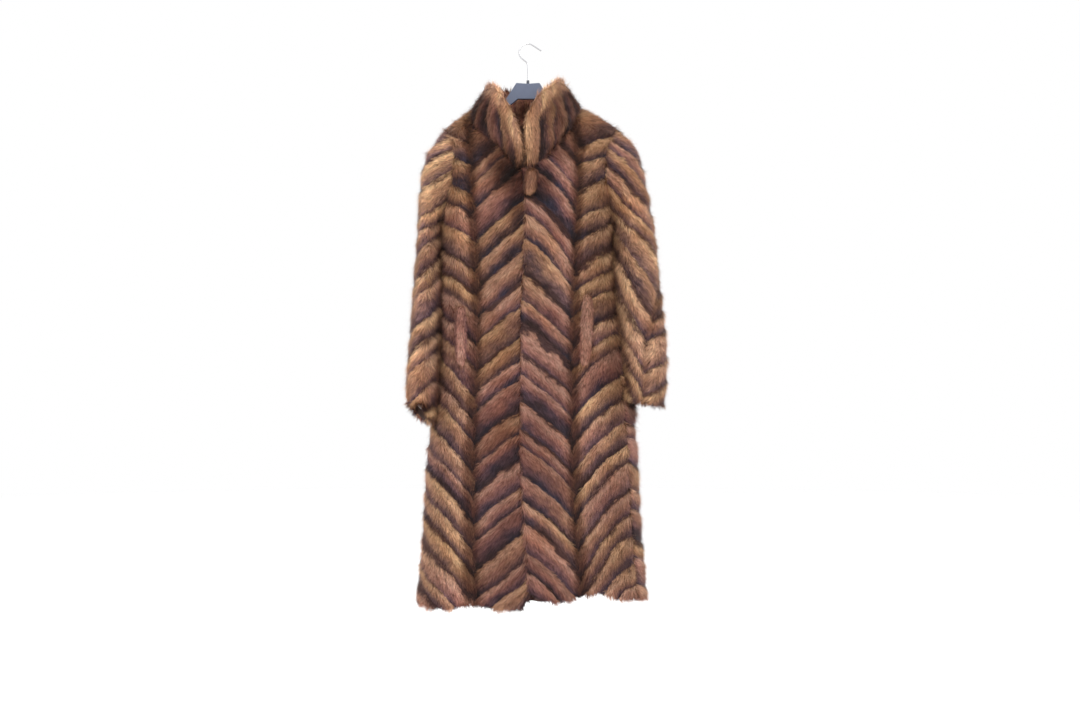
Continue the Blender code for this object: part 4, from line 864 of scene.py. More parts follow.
# %% What the tree is given, and the chances that it draws
PILE_INPUTS = (
    ("Hairs per square metre", "NodeSocketFloat", 350000.0),
    ("Length", "NodeSocketFloat", 0.0165),
    ("Width", "NodeSocketFloat", 0.0017),
    ("Lift", "NodeSocketFloat", 0.42),
    ("Guard lift", "NodeSocketFloat", 0.46),
    ("Spread", "NodeSocketFloat", 0.20),
    ("Lock scale", "NodeSocketFloat", 110.0),
    ("Lock turn", "NodeSocketFloat", 1.2),
    ("Seed", "NodeSocketInt", 0),
)
# One random number for each hair and row, between two limits. The first row's seed is 2, the next one's 3.
CHANCE_COLUMNS = ("name", "low", "high")
CHANCE_ROWS = (
    ("guard", 0.0, 1.0),
    ("lift", 0.5, 1.5),
    ("hair", 0.0, 1.0),
    ("width", 0.7, 1.3),
    ("length", 0.7, 1.15),
)
GUARD_FROM = 0.87  # hairs whose number is above this are guard hair: one in eight


# %% The way a hair lies
def hair_turn(tree, given, read, chance, guard):
    """How each hair is turned, and the lock that it belongs to."""
    # The nap, with a small stray turn for each hair.
    cube = {0: (-1, -1, -1), 1: (1, 1, 1), 8: 1}
    stray = add(tree, "FunctionNodeRandomValue", cube, data_type="FLOAT_VECTOR")
    stray = add(tree, "ShaderNodeVectorMath", {0: stray, "Scale": given["Spread"]}, operation="SCALE")
    out = add(tree, "ShaderNodeVectorMath", (read["out"],), operation="NORMALIZE")
    lie = add(tree, "ShaderNodeVectorMath", (read["lie"], stray), operation="ADD")
    # Hairs keep together in locks, so neighbours turn the same way.
    place = {"Vector": add(tree, "GeometryNodeInputPosition"), "Scale": given["Lock scale"], "Detail": 1.0}
    lock = add(tree, "ShaderNodeTexNoise", place, "Color")
    lock = add(tree, "ShaderNodeVectorMath", (lock, (0.5, 0.5, 0.5)), operation="SUBTRACT")
    swing = add(tree, "ShaderNodeVectorMath", {0: lock, "Scale": given["Lock turn"]}, operation="SCALE")
    lie = add(tree, "ShaderNodeVectorMath", (lie, swing), operation="ADD")
    # Laid back into the surface.
    sunk = add(tree, "ShaderNodeVectorMath", (lie, out), "Value", operation="DOT_PRODUCT")
    into = add(tree, "ShaderNodeVectorMath", {0: out, "Scale": sunk}, operation="SCALE")
    lie = add(tree, "ShaderNodeVectorMath", (lie, into), operation="SUBTRACT")
    lie = add(tree, "ShaderNodeVectorMath", (lie,), operation="NORMALIZE")
    # Most hairs lift a little, guard hair more. The blade's face and its length turn together.
    lift = add(tree, "ShaderNodeMath", (given["Lift"], chance["lift"]), operation="MULTIPLY")
    lift = add(tree, "ShaderNodeMath", (guard, given["Guard lift"], lift), operation="MULTIPLY_ADD")
    along, up = (add(tree, "ShaderNodeMath", (lift,), operation=name) for name in ("COSINE", "SINE"))
    axes = []
    for first, second, joined in ((lie, out, "ADD"), (out, lie, "SUBTRACT")):
        main = add(tree, "ShaderNodeVectorMath", {0: first, "Scale": along}, operation="SCALE")
        turned = add(tree, "ShaderNodeVectorMath", {0: second, "Scale": up}, operation="SCALE")
        axes.append(add(tree, "ShaderNodeVectorMath", (main, turned), operation=joined))
    way, face = axes
    axes = {"Primary Axis": face, "Secondary Axis": way}
    turn = add(tree, "FunctionNodeAxesToRotation", axes, primary_axis="Z", secondary_axis="Y")
    return turn, lock


# %% The shape of a hair
def hair_blade(tree):
    """One flat triangle, one wide and one long: point 0 is its tip, points 1 and 2 its foot."""
    blade = add(tree, "GeometryNodeMeshCircle", {"Vertices": 3, "Radius": 1.0}, fill_type="NGON")
    index = add(tree, "GeometryNodeInputIndex")
    is_tip = add(tree, "ShaderNodeMath", (index, 0.5), operation="LESS_THAN")
    is_foot = add(tree, "ShaderNodeMath", (is_tip, -1.0, 1.0), operation="MULTIPLY_ADD")
    across = add(tree, "ShaderNodeMath", (index, -1.5), operation="ADD")
    across = add(tree, "ShaderNodeMath", (across, is_foot), operation="MULTIPLY")
    corner = add(tree, "ShaderNodeCombineXYZ", (across, is_tip, 0.0))
    shaped = add(tree, "GeometryNodeSetPosition", {"Geometry": blade, "Position": corner})
    stored = {"Geometry": shaped, "Name": "tip", "Value": is_tip}
    return add(tree, "GeometryNodeStoreNamedAttribute", stored, data_type="FLOAT", domain="POINT")


def hair_size(tree, given, read, chance, guard):
    """Each hair's width and length. Guard hair is thinner and longer than the rest."""
    made = []
    for name, usual, more in (("width", given["Width"], -0.45), ("length", given["Length"], 0.18)):
        if name == "length":
            usual = add(tree, "ShaderNodeMath", (usual, read["long"]), operation="MULTIPLY")
        size = add(tree, "ShaderNodeMath", (usual, chance[name]), operation="MULTIPLY")
        factor = add(tree, "ShaderNodeMath", (guard, more, 1.0), operation="MULTIPLY_ADD")
        made.append(add(tree, "ShaderNodeMath", (size, factor), operation="MULTIPLY"))
    return add(tree, "ShaderNodeCombineXYZ", (*made, 1.0))


# %% The node tree that grows hair
def pile_tree():
    """The tree: roots on the shell, a blade at each root, all made real and given the pile's material."""
    tree = bpy.data.node_groups.new("grow the pile", "GeometryNodeTree")
    tree.interface.new_socket("Geometry", in_out="INPUT", socket_type="NodeSocketGeometry")
    for name, kind, usual in PILE_INPUTS:
        tree.interface.new_socket(name, in_out="INPUT", socket_type=kind).default_value = usual
    tree.interface.new_socket("Finish", in_out="INPUT", socket_type="NodeSocketMaterial")
    tree.interface.new_socket("Geometry", in_out="OUTPUT", socket_type="NodeSocketGeometry")
    given = tree.nodes.new("NodeGroupInput").outputs
    read, chance = {}, {}
    for name in ("furred", "long", "out", "lie"):
        kind = "FLOAT_VECTOR" if name in ("out", "lie") else "FLOAT"
        read[name] = add(tree, "GeometryNodeInputNamedAttribute", {"Name": name}, data_type=kind)
    for seed, row in enumerate(CHANCE_ROWS, 2):
        draw = dict(zip(CHANCE_COLUMNS, row))
        limits = {2: draw["low"], 3: draw["high"], 8: seed}
        chance[draw["name"]] = add(tree, "FunctionNodeRandomValue", limits, 1, data_type="FLOAT")

    density = (given["Hairs per square metre"], read["furred"])
    density = add(tree, "ShaderNodeMath", density, operation="MULTIPLY")
    roots = {"Mesh": given["Geometry"], "Density": density, "Seed": given["Seed"]}
    roots = add(tree, "GeometryNodeDistributePointsOnFaces", roots)
    guard = add(tree, "ShaderNodeMath", (chance["guard"], GUARD_FROM), operation="GREATER_THAN")
    turn, lock = hair_turn(tree, given, read, chance, guard)
    for name, value, kind in (("hair", chance["hair"], "FLOAT"), ("lock", lock, "FLOAT_VECTOR")):
        stored = {"Geometry": roots, "Name": name, "Value": value}
        roots = add(tree, "GeometryNodeStoreNamedAttribute", stored, data_type=kind, domain="POINT")
    size = hair_size(tree, given, read, chance, guard)
    grown = {"Points": roots, "Instance": hair_blade(tree), "Rotation": turn, "Scale": size}
    grown = add(tree, "GeometryNodeInstanceOnPoints", grown)
    real = add(tree, "GeometryNodeRealizeInstances", {"Geometry": grown})
    coloured = {"Geometry": real, "Material": given["Finish"]}
    coloured = add(tree, "GeometryNodeSetMaterial", coloured)
    feed(tree, tree.nodes.new("NodeGroupOutput"), {"Geometry": coloured})
    return tree


PILE_TREE = pile_tree()
print("hair tree:", len(PILE_TREE.nodes), "nodes")


# %% [markdown]
# ## From nodes to a plain mesh
#
# A flat triangle would shine like a chip of glass. Each hair therefore takes its shading normal from the
# skin under it, with a little of its own, so that light rolls softly over the strip as it does on real
# fur. The hairs also get a texture map with one small cell for each of them. The modifier could stay live,
# but a plain mesh can be stored, measured and sent on as it is.

# %% Grow the pile of one shell
HAIR_NORMAL_STRAY = 0.28
LOCK_NORMAL_TILT = 1.1
HAIR_LEAN = 0.55


def soft_normals(mesh, seed):
    """Normals from the skin, with a small turn of its own for each hair."""
    count = len(mesh.vertices)
    names = ("out", "lie", "lock")
    read = {name: read_vectors(mesh.attributes[name].data, "vector", count) for name in names}
    stray = np.random.default_rng(seed).normal(size=(count // 3, 3)).repeat(3, axis=0)
    tilt = HAIR_NORMAL_STRAY * stray + LOCK_NORMAL_TILT * read["lock"]
    normals = unit(unit(read["out"]) + tilt - HAIR_LEAN * read["lie"])
    mesh.normals_split_custom_set_from_vertices(normals)


def cell_map(mesh):
    """A texture map with each hair in a cell of its own."""
    hairs = len(mesh.polygons)
    side = math.ceil(math.sqrt(hairs))
    row, column = np.divmod(np.arange(hairs), side)
    corners = np.array([(0.5, 0.85), (0.15, 0.15), (0.85, 0.15)])
    cells = (np.stack([column, row], axis=1)[:, None] + corners[None]) / side
    layer = mesh.uv_layers.new(name="OFBake")
    layer.uv.foreach_set("vector", cells.astype(np.float32).ravel())


def grow(shell, name, seed):
    """The shell's pile as a plain mesh."""
    modifier = shell.modifiers.new("pile", "NODES")
    modifier.node_group = PILE_TREE
    keys = {item.name: item.identifier for item in PILE_TREE.interface.items_tree if item.in_out == "INPUT"}
    for title, _, usual in PILE_INPUTS:
        modifier[keys[title]] = usual
    modifier[keys["Seed"]] = seed
    modifier[keys["Finish"]] = PILE
    graph = bpy.context.evaluated_depsgraph_get()
    mesh = bpy.data.meshes.new_from_object(shell.evaluated_get(graph), depsgraph=graph)
    shell.modifiers.remove(modifier)
    mesh.name = name
    soft_normals(mesh, seed)
    cell_map(mesh)
    return link_in(bpy.data.objects.new(name, mesh))


# %% [markdown]
# ## The panels
#
# Each row below is one cut piece of the coat: between which two lines it lies, which column of the rise
# table its strips follow, and which family of tones they are drawn from. Then come how rosy its brown is,
# how light it is, and how dark the bands are. The eight could be made one by one, but a table shows at a
# glance how they differ.

# %% Table of the body's panels
GOLDEN, DARK = "fur_golden_brown", "fur_dark_brown"
PANEL_COLUMNS = ("node", "valley", "ridge", "rise", "family", "rose", "deep", "band", "slot")
PANEL_ROWS = (
    ("front_right_centre", "right_princess", "underlap", "centre", 1.1, 0.04, 0.77, 0.58, GOLDEN),
    ("front_left_centre", "left_princess", "edge", "centre", 2.3, 0.34, 0.92, 0.62, GOLDEN),
    ("front_right_side", "right_princess", "right_side", "side", 3.7, 0.00, 1.22, 0.18, DARK),
    ("front_left_side", "left_princess", "left_side", "side", 4.9, -0.02, 1.06, 0.34, DARK),
    ("back_right_centre", "back_right_princess", "centre_back_right", "centre", 5.2, 0.05, 0.92, 0.60, DARK),
    ("back_left_centre", "back_left_princess", "centre_back_left", "centre", 6.4, 0.02, 0.92, 0.60, DARK),
    ("back_right_side", "back_right_princess", "right_side", "side", 7.8, -0.06, 1.00, 0.35, GOLDEN),
    ("back_left_side", "back_left_princess", "left_side", "side", 8.6, 0.00, 1.00, 0.40, GOLDEN),
)
print("panels:", ", ".join(row[0] for row in PANEL_ROWS))

# %% [markdown]
# ## Painted shade and deeper patches
#
# A coat's fur is never one brown all over, but most of these spots are painted shade. The fur is drawn
# darkest under the collar, where the pile lies in its shadow, and beside the tab, and the right cuff's
# opening is painted as a near black oval. The fur is also darker at the waist and at the hem. Each row below
# is a soft spot on the front: its middle, how far it reaches across and up, and the share of the light that
# is left there.

# %% Table of the deep spots
SHADE_COLUMNS = ("x", "z", "across", "tall", "factor")
SHADE_ROWS = (
    # The first eight rows are painted shadow below the collar and beside the tab. The next three darken the
    # waist and the hem.
    (-0.042, -0.312, 0.044, 0.050, 0.05),
    (-0.022, -0.385, 0.020, 0.045, 0.34),
    (-0.080, -0.262, 0.034, 0.034, 0.42),
    (-0.115, -0.225, 0.040, 0.034, 0.70),
    (0.036, -0.335, 0.022, 0.050, 0.28),
    (0.072, -0.262, 0.030, 0.030, 0.38),
    (0.110, -0.215, 0.040, 0.030, 0.70),
    (-0.135, -0.185, 0.060, 0.035, 0.68),
    (0.045, -0.860, 0.045, 0.090, 0.76),
    (-0.060, -0.930, 0.060, 0.110, 0.84),
    (0.020, -1.270, 0.260, 0.060, 0.90),
    # Painted shade: the right cuff's opening, a near black oval.
    (-0.2485, -0.862, 0.019, 0.014, 0.02),
)
SPOT_EDGE = 1.6  # 1 gives a spot its softest edge


def spot(points, x, z, across, tall, edge):
    """1 in the middle of an oval spot on the front, 0 well outside it."""
    away = ((points[:, 0] - x) / across) ** 2 + ((points[:, 2] - z) / tall) ** 2
    return np.exp(-(away**edge)) * (points[:, 1] < 0)


def shade(points):
    """How deep the brown is at each point, mostly from painted shade."""
    made = np.ones(len(points))
    for *place, factor in zip(*table(SHADE_COLUMNS, SHADE_ROWS).values()):
        made *= 1 - (1 - factor) * spot(points, *place, SPOT_EDGE)
    return made


print("deep spots:", len(SHADE_ROWS))

# %% [markdown]
# ## What each shell stores
#
# The pile can only know what is stored on the skin that it grows from. So each shell gets a number or a
# vector at every point for all that the hair and its colour depend on. The skin's inner side carries no
# hair, and has the lining instead.


# %% Store what the pile needs
def finish_shell(shell, out, lie, furred, deep, **numbers):
    """Stores what the pile needs, and gives the inner faces the lining."""
    mesh = shell.data
    count = len(mesh.vertices)
    usual = {"run": 0.0, "calm": 0.0, "long": 1.0}
    # The shade number joins the piece's own tone, its painted shade and its darker spots.
    made = {"furred": furred, "shade": deep * shade(point_array(mesh))}
    for name, values in {**usual, **numbers, **made}.items():
        store(mesh, name, np.broadcast_to(values, (count,)))
    store(mesh, "out", out)
    store(mesh, "lie", lie)
    mesh.materials.append(UNDERCOAT)
    mesh.materials.append(LINING)
    corners = np.empty(len(mesh.loops), np.int32)
    mesh.loops.foreach_get("vertex_index", corners)
    bare = furred[corners.reshape(-1, 3)].max(axis=1) < 0.05
    mesh.polygons.foreach_set("material_index", bare.astype(np.int32))
    mesh.update()


# %% The nap
STRAIGHT_DOWN = [0.0, 0.0, -1.0]


def laid(lie, normals, down=None):
    """The nap brought into the surface. Where that faces sideways, the hair hangs straight down."""
    if down is not None:
        turned = ramp(np.abs(normals[:, :1]), 0.50, 0.85)
        lie = lie * (1 - turned) + (down + [0, 0.20, 0]) * turned
    return unit(lie - (lie * normals).sum(axis=1, keepdims=True) * normals)


# %% The hem and the cuffs
# How much higher the front's hem hangs than a level one, across the coat: it is uneven, with a small step
# at the front edge.
HEM_COLUMNS = ("x", "lift")
HEM_ROWS = (
    (-0.270, 0.003),
    (-0.225, -0.003),
    (-0.180, -0.003),
    (-0.155, 0.003),
    (-0.130, 0.011),
    (-0.110, 0.010),
    (-0.085, 0.004),
    (-0.040, 0.002),
    (-0.010, -0.003),
    (-0.004, 0.012),
    (0.008, 0.011),
    (0.025, 0.003),
    (0.068, -0.006),
    (0.120, 0.002),
    (0.140, 0.006),
    (0.185, -0.006),
    (0.210, -0.002),
    (0.235, 0.008),
    (0.300, 0.006),
)
HEM = table(HEM_COLUMNS, HEM_ROWS)
HEM_STRAY = 0.35


def hanging(lie, normals, down, out, at_end):
    """The nap and the way out on an open end's edge, where the hair hangs straight down in loose wisps."""
    edge = (at_end * ramp(-normals[:, 2], 0.2, 0.7))[:, None]
    stray = np.random.default_rng(7).normal(size=lie.shape)
    lie = unit(lie * (1 - edge) + (down + HEM_STRAY * stray) * edge)
    return lie, unit(normals * (1 - edge) + out * edge)


print("hem: from", 1000 * HEM["lift"].min(), "to", 1000 * HEM["lift"].max(), "mm")

# %% [markdown]
# ## The body's shells
#
# Each shell is moved to its strips' relief and then finished. Where two pieces touch, the rule bends: the
# pile is fuller where coat and sleeve meet, the right front is bare under the left one, and the panel
# doesn't swell under the welts and the tab. Painted shade darkens the V seams' grooves, the gap beside the
# arms and the fur round the welts and the tab. Hair that roots beside a V seam lies over it, so the painted
# shade reaches out by that much more.

# %% How far the shells move, and where they are darker
OUTER_FACE = (-0.30, 0.15)  # a wall's point carries hair if it faces the form's way out by more than this
MOVE_IN, MOVE_OUT = -0.007, 0.008
MOVE_BY_ARM = 0.005  # how much further it may move beside the arm
BY_ARM_SWELL = 0.011
FULLER = 0.5  # how much longer the hair is beside the arm
FLATTENED = 0.010  # how much less a panel may move under a small piece
UNDER_MARGIN = 0.006
SIDE_DRAW = 0.004  # drawn in at the coat's right outline
VALLEY_REACH = (0.011, 0.025)  # full dark up to the first, none from the second
# Painted shade: how much the V seams' grooves, the gap beside the arms and the fur round the welts and the
# tab are darkened. The yoke is darker too.
VALLEY_SHADE, BY_ARM_SHADE, UNDER_SHADE, YOKE_DARK = 0.78, 0.25, 0.32, 0.34
YOKE, CALM_YOKE = (-0.27, -0.22), (-0.262, -0.215)  # heights from which the yoke is dark and even
CHEST = (-0.75, -0.45)
# Beside the chest the dark bands are drawn stronger: painted shade in the deeper joins there.
CHEST_GOLD, CHEST_BAND_SHADE = 0.32, 0.40  # less rosy, and stronger dark bands
HEM_FROM = (1.27, 1.31)  # metres below the origin
HEM_SHORT, HEM_SCALLOP = 0.50, 0.55  # shorter hair, and how much of that a strip's crest gets back


# %% Rules for the shells
def form_depth(phase, from_valley, calm=0.0):
    """How far out of the form the shell lies: under the pile, and lower at the joins and V seams."""
    groove = SEAM_GROOVE * np.exp(-((from_valley / SEAM_GROOVE_WIDTH) ** 2))
    return -PILE_ROOM - (RELIEF * (1 - strip_height(phase)) + groove) * (1 - calm)


def covered(points):
    """1 where the right front lies under the left one, 0 where it shows."""
    past = points[:, 0] - np.interp(points[:, 2], EDGE["height"], EDGE["across"])
    return ramp(past, -0.012, 0.004)


def under(points):
    """1 beneath the welts and the tab, where the panel must not swell."""
    made = np.zeros(len(points), bool)
    for node in ("pocket_welt_right", "pocket_welt_left", "front_tab"):
        piece = point_array(NODES[node].data)
        low, high = piece.min(axis=0) - UNDER_MARGIN, piece.max(axis=0) + UNDER_MARGIN
        made |= ((points > low) & (points < high))[:, [0, 2]].all(axis=1) & (points[:, 1] < 0)
    return made


def beside_arm(points):
    """1 beside the arm, from the cuff up to the armhole."""
    tall = ramp(points[:, 2], -0.93, -0.88) * ramp(-points[:, 2], 0.40, 0.43)
    return ramp(np.abs(points[:, 0]), 0.185, 0.205) * tall


def uneven(phase, family):
    """Makes some strips wider and others narrower, as pelts are."""
    return phase + 0.11 * np.sin(2.3 * phase + family) + 0.07 * np.sin(4.9 * phase + 2 * family)


# %% Body shells
SHELLS = {}
for row in PANEL_ROWS:
    panel = dict(zip(PANEL_COLUMNS, row))
    shell = finer_copy(panel["node"], "shell_" + panel["node"])
    mesh = shell.data
    points, normals = point_array(mesh), normal_array(mesh)
    traces = body_strips(points, panel["valley"], panel["ridge"], panel["rise"])
    phase, share, along, down, out, depth = traces
    phase = uneven(phase + WANDER * wander(points), panel["family"])
    from_valley = share * SIDE_WIDTH
    outer = ramp((normals * out).sum(axis=1), *OUTER_FACE)
    hidden = covered(points) if panel["node"] == "front_right_centre" else np.zeros(len(points))
    # Beside the arms the pile is fuller: there coat and sleeve touch.
    by_arm = beside_arm(points)
    swell = by_arm * ramp(points[:, 1], -0.020, 0.005)
    draw = SIDE_DRAW * ramp(-normals[:, 0], 0.4, 0.9)
    want = form_depth(phase, from_valley) + BY_ARM_SWELL * swell - draw
    highest = MOVE_OUT + MOVE_BY_ARM * swell - FLATTENED * under(points)
    move = np.clip(want - depth, MOVE_IN, highest) * outer * (1 - hidden)
    set_points(mesh, points + out * move[:, None])
    # On the shoulders the hair lies outwards, and elsewhere along the strip and a little down.
    normals = normal_array(mesh)
    on_top = ramp(normals[:, 2:], 0.25, 0.60) * ramp(points[:, 2:], -0.30, -0.24)
    outwards = 0.3 * down + np.sign(points[:, :1]) * [1.0, 0, 0]
    lie = laid((1 - on_top) * (0.66 * along + 0.34 * down) + on_top * outwards, normals, down)
    furred = outer * (1 - hidden)
    # How light it is: painted shade in the V seams' grooves, beside the arms and round the small pieces,
    # and darker on the yoke.
    deep = panel["deep"] * (1 - VALLEY_SHADE * (1 - ramp(from_valley, *VALLEY_REACH)))
    deep = deep * (1 - BY_ARM_SHADE * by_arm) * (1 - YOKE_DARK * ramp(points[:, 2], *YOKE))
    deep = deep * (1 - UNDER_SHADE * under(points))
    # The side panels are more golden beside the chest than down the skirt.
    high = ramp(points[:, 2], *CHEST)
    rose = panel["rose"] - CHEST_GOLD * high * (panel["rise"] == "side")
    # The dark bands are stronger beside the chest on every panel, as painted shade in its deeper joins.
    look = {"family": panel["family"], "rose": rose, "band": panel["band"] + CHEST_BAND_SHADE * high}
    calm = 0.35 * ramp(points[:, 2], *CALM_YOKE)
    # At the hem the hair hangs straight down, longer at each strip's middle, so that the edge is uneven.
    at_hem = ramp(-points[:, 2], *HEM_FROM)
    lie, facing = hanging(lie, normals, down, out, at_hem)
    front = at_hem * ramp(-points[:, 1], -0.01, 0.03)
    lifted = point_array(mesh)
    lifted[:, 2] += front * np.interp(points[:, 0], HEM["x"], HEM["lift"])
    set_points(mesh, lifted)
    long = (1.0 + FULLER * swell) * (1 + at_hem * (HEM_SCALLOP * strip_height(phase) - HEM_SHORT))
    strip = {"phase": phase, "run": from_valley, "calm": calm, "long": long}
    finish_shell(shell, facing, lie, furred, deep, **strip, **look)
    SHELLS[panel["node"]] = (shell, panel["slot"])
print("body shells:", len(SHELLS))

# %% [markdown]
# ## The sleeves
#
# Each sleeve is made of a front and a back half. Their strips climb from a V seam to a ridge and fall
# again, twice round the arm. On the sleeve's head they run straight over the shoulder, and on the left arm,
# which hangs turned, the V winds round to the front. The body's rule would fit here too, but an arm has no
# front edge and no side seam, so it is simpler to count in degrees round the arm.

# %% Table of the sleeves' halves
SLEEVE_PIECE_COLUMNS = ("node", "word", "family", "rose", "band", "slot")
SLEEVE_PIECE_ROWS = (
    ("sleeve_right_front", "right", 11.3, -0.38, 0.15, GOLDEN),
    ("sleeve_right_back", "right", 11.3, -0.25, 0.25, DARK),
    ("sleeve_left_front", "left", 12.9, -0.40, 0.15, GOLDEN),
    ("sleeve_left_back", "left", 12.9, -0.25, 0.25, DARK),
)
# Where the inner side towards the body lies, and the line along the ridge where the sleeve lies against the
# body, and how wide they are, in degrees. That line and the V seams' grooves are darkened as painted shade.
INNER_SIDE, BODY_CONTACT_LINE = (205, 35), (172, 13)
SLEEVE_VALLEY_SHADE, BODY_CONTACT_SHADE = 0.45, 0.42
CUFF_OPENING_SHADE = (-0.2496, -0.866, 0.017, 0.012)  # its middle, x and z, and how far it reaches each way
OPENING_SHADE_EDGE = 3


def near_angle(degrees, middle, width):
    """1 along one line down the sleeve, 0 well to the side of it."""
    return np.exp(-(((np.mod(degrees, 360) - middle) / width) ** 2))


# %% Sleeve shells
for row in SLEEVE_PIECE_ROWS:
    piece = dict(zip(SLEEVE_PIECE_COLUMNS, row))
    word = piece["word"]
    shell = finer_copy(piece["node"], "shell_" + piece["node"])
    mesh = shell.data
    points, normals = point_array(mesh), normal_array(mesh)
    phase, from_valley, along, down, out, sunk, depth, degrees = sleeve_strips(points, word)
    phase = uneven(phase + WANDER * wander(points), piece["family"])
    outer = ramp((normals * out).sum(axis=1), *OUTER_FACE)
    by_body = near_angle(degrees, *INNER_SIDE) * ramp(depth, 0.0, 0.03)
    draw = SIDE_DRAW * ramp(-normals[:, 0], 0.4, 0.9) * (word == "right")
    want = form_depth(phase, from_valley, 1 - ramp(depth, 0.0, SLEEVE_CALM)) + BY_ARM_SWELL * by_body - draw
    move = np.clip(want - sunk, MOVE_IN, MOVE_OUT + MOVE_BY_ARM * by_body) * outer
    set_points(mesh, points + out * move[:, None])
    normals = normal_array(mesh)
    lie = laid(0.60 * along + 0.40 * down, normals, down)
    # Painted shade in the V seams' grooves, and along the line where the sleeve lies against the body.
    deep = SLEEVE_DEEP[word] * (1 - SLEEVE_VALLEY_SHADE * (1 - ramp(from_valley, 0.006, 0.018)))
    deep = deep * (1 - BODY_CONTACT_SHADE * near_angle(degrees, *BODY_CONTACT_LINE) * ramp(depth, 0.10, 0.16))
    # Painted shade: the right cuff's opening, turned a little to the front, is drawn as a dark oval. No hair
    # grows there, and the last deep spot darkens the bare skin.
    furred = outer * (1 - spot(points, *CUFF_OPENING_SHADE, OPENING_SHADE_EDGE))
    end = SLEEVE_FORMS[word][1][-1]
    lie, facing = hanging(lie, normals, down, out, ramp(depth, end - 0.040, end - 0.015))
    strip = {"phase": phase, "run": from_valley, "long": 1.0 + FULLER * by_body}
    look = {name: piece[name] for name in ("family", "rose", "band")}
    finish_shell(shell, facing, lie, furred, deep, **strip, **look)
    SHELLS[piece["node"]] = (shell, piece["slot"])
print("with sleeves:", len(SHELLS))

# %% [markdown]
# ## The collar
#
# The stand collar is a wall that is furred on both sides. Its strips run up from the neck seam, side by
# side, and the hair falls from the upper edge down both faces. It could have a form of its own, as the
# sleeves do, but a strip of the collar is simply a slice of the turn round the neck.

# %% The collar's edge and sizes
COLLAR_STRIP = math.radians(17)
COLLAR_WANDER = 2.4  # how much more its joins stray than those of the body
COLLAR_SINK = 0.0035
EDGE_BAND = 0.022
EDGE_FADE = (0.6 * EDGE_BAND, 1.3 * EDGE_BAND)
# Places in the front view, x and z, along the collar's front edge from the bottom to its tip.
COLLAR_EDGE = {
    "right": (
        (-0.002, -0.280),
        (-0.012, -0.235),
        (-0.032, -0.185),
        (-0.052, -0.145),
        (-0.072, -0.116),
        (-0.100, -0.100),
    ),
    "left": (
        (0.000, -0.270),
        (-0.003, -0.215),
        (0.006, -0.175),
        (0.034, -0.133),
        (0.062, -0.102),
        (0.084, -0.092),
    ),
}
COLLAR_DEEP, EDGE_LIGHT, TIP_LIGHT = 0.53, 0.70, 0.22
# Painted shade on the collar's lowest part in front, where its two ends meet. BACK_DARK darkens its sides.
FOOT_SHADE, BACK_DARK = 0.30, 0.22
COLLAR_ROSE, EDGE_GOLD = 0.16, 0.42
COLLAR_BAND, COLLAR_CALM = 0.95, 1.45


def line_distance(points, line):
    """Distance in the front view from each point to a line of points."""
    flat, best = points[:, [0, 2]], np.full(len(points), 9.0)
    for start, end in zip(np.array(line[:-1]), np.array(line[1:])):
        step = end - start
        share = np.clip(((flat - start) @ step) / (step @ step), 0, 1)
        best = np.minimum(best, np.linalg.norm(flat - start - share[:, None] * step, axis=1))
    return best


print("edge band:", 1000 * EDGE_BAND, "mm wide")

# %% Collar shells
for word, family in (("right", 14.2), ("left", 15.8)):
    node = "collar_" + word
    shell = finer_copy(node, "shell_" + node)
    mesh = shell.data
    points, normals = point_array(mesh), normal_array(mesh)
    turn = np.arctan2(points[:, 0], -points[:, 1])
    outward = ramp((normals * unit(points * [1, 1, 0])).sum(axis=1), -0.2, 0.3)
    phase = np.abs(turn) / COLLAR_STRIP + COLLAR_WANDER * WANDER * wander(points)
    # A band along the front edge is smooth, light and golden, without strips.
    from_edge = line_distance(points, COLLAR_EDGE[word])
    near_edge = (1 - ramp(from_edge, *EDGE_FADE)) * (points[:, 1] < 0.0)
    sunk = 0.002 + COLLAR_SINK * outward * (1 - near_edge) * (1 - np.sin(math.pi * np.mod(phase, 1)) ** 0.6)
    set_points(mesh, points - normals * sunk[:, None])
    normals = normal_array(mesh)
    furred = ramp(normals[:, 2], -0.92, -0.6)
    top_edge = ramp(normals[:, 2], 0.35, 0.8)
    down = STRAIGHT_DOWN + top_edge[:, None] * [0.0, 0.0, 2.0]
    lie = laid(down, normals)
    # Painted shade low on the collar's front, where its two ends meet.
    deep = (COLLAR_DEEP + EDGE_LIGHT * near_edge) * (1 - FOOT_SHADE * ramp(-points[:, 2], 0.235, 0.275))
    deep *= 1 - BACK_DARK * ramp(np.abs(points[:, 0]), 0.085, 0.11) * (1 - near_edge)
    deep *= 1 + TIP_LIGHT * near_edge * ramp(points[:, 2], -0.145, -0.105)
    strip = {"phase": phase, "run": points[:, 2], "calm": COLLAR_CALM * np.maximum(near_edge, 1 - outward)}
    look = {"family": family, "rose": COLLAR_ROSE - EDGE_GOLD * near_edge, "band": COLLAR_BAND}
    finish_shell(shell, normals, lie, furred, deep, **strip, **look)
    SHELLS[node] = (shell, GOLDEN)
print("with the collar:", len(SHELLS))

# %% [markdown]
# ## The welts and the tab
#
# Two narrow fur welts edge the pockets, and a small fur tab covers the top fastening. They are cut from
# shorter fur, and are too narrow for strips of their own: each shows the light middle of one strip.

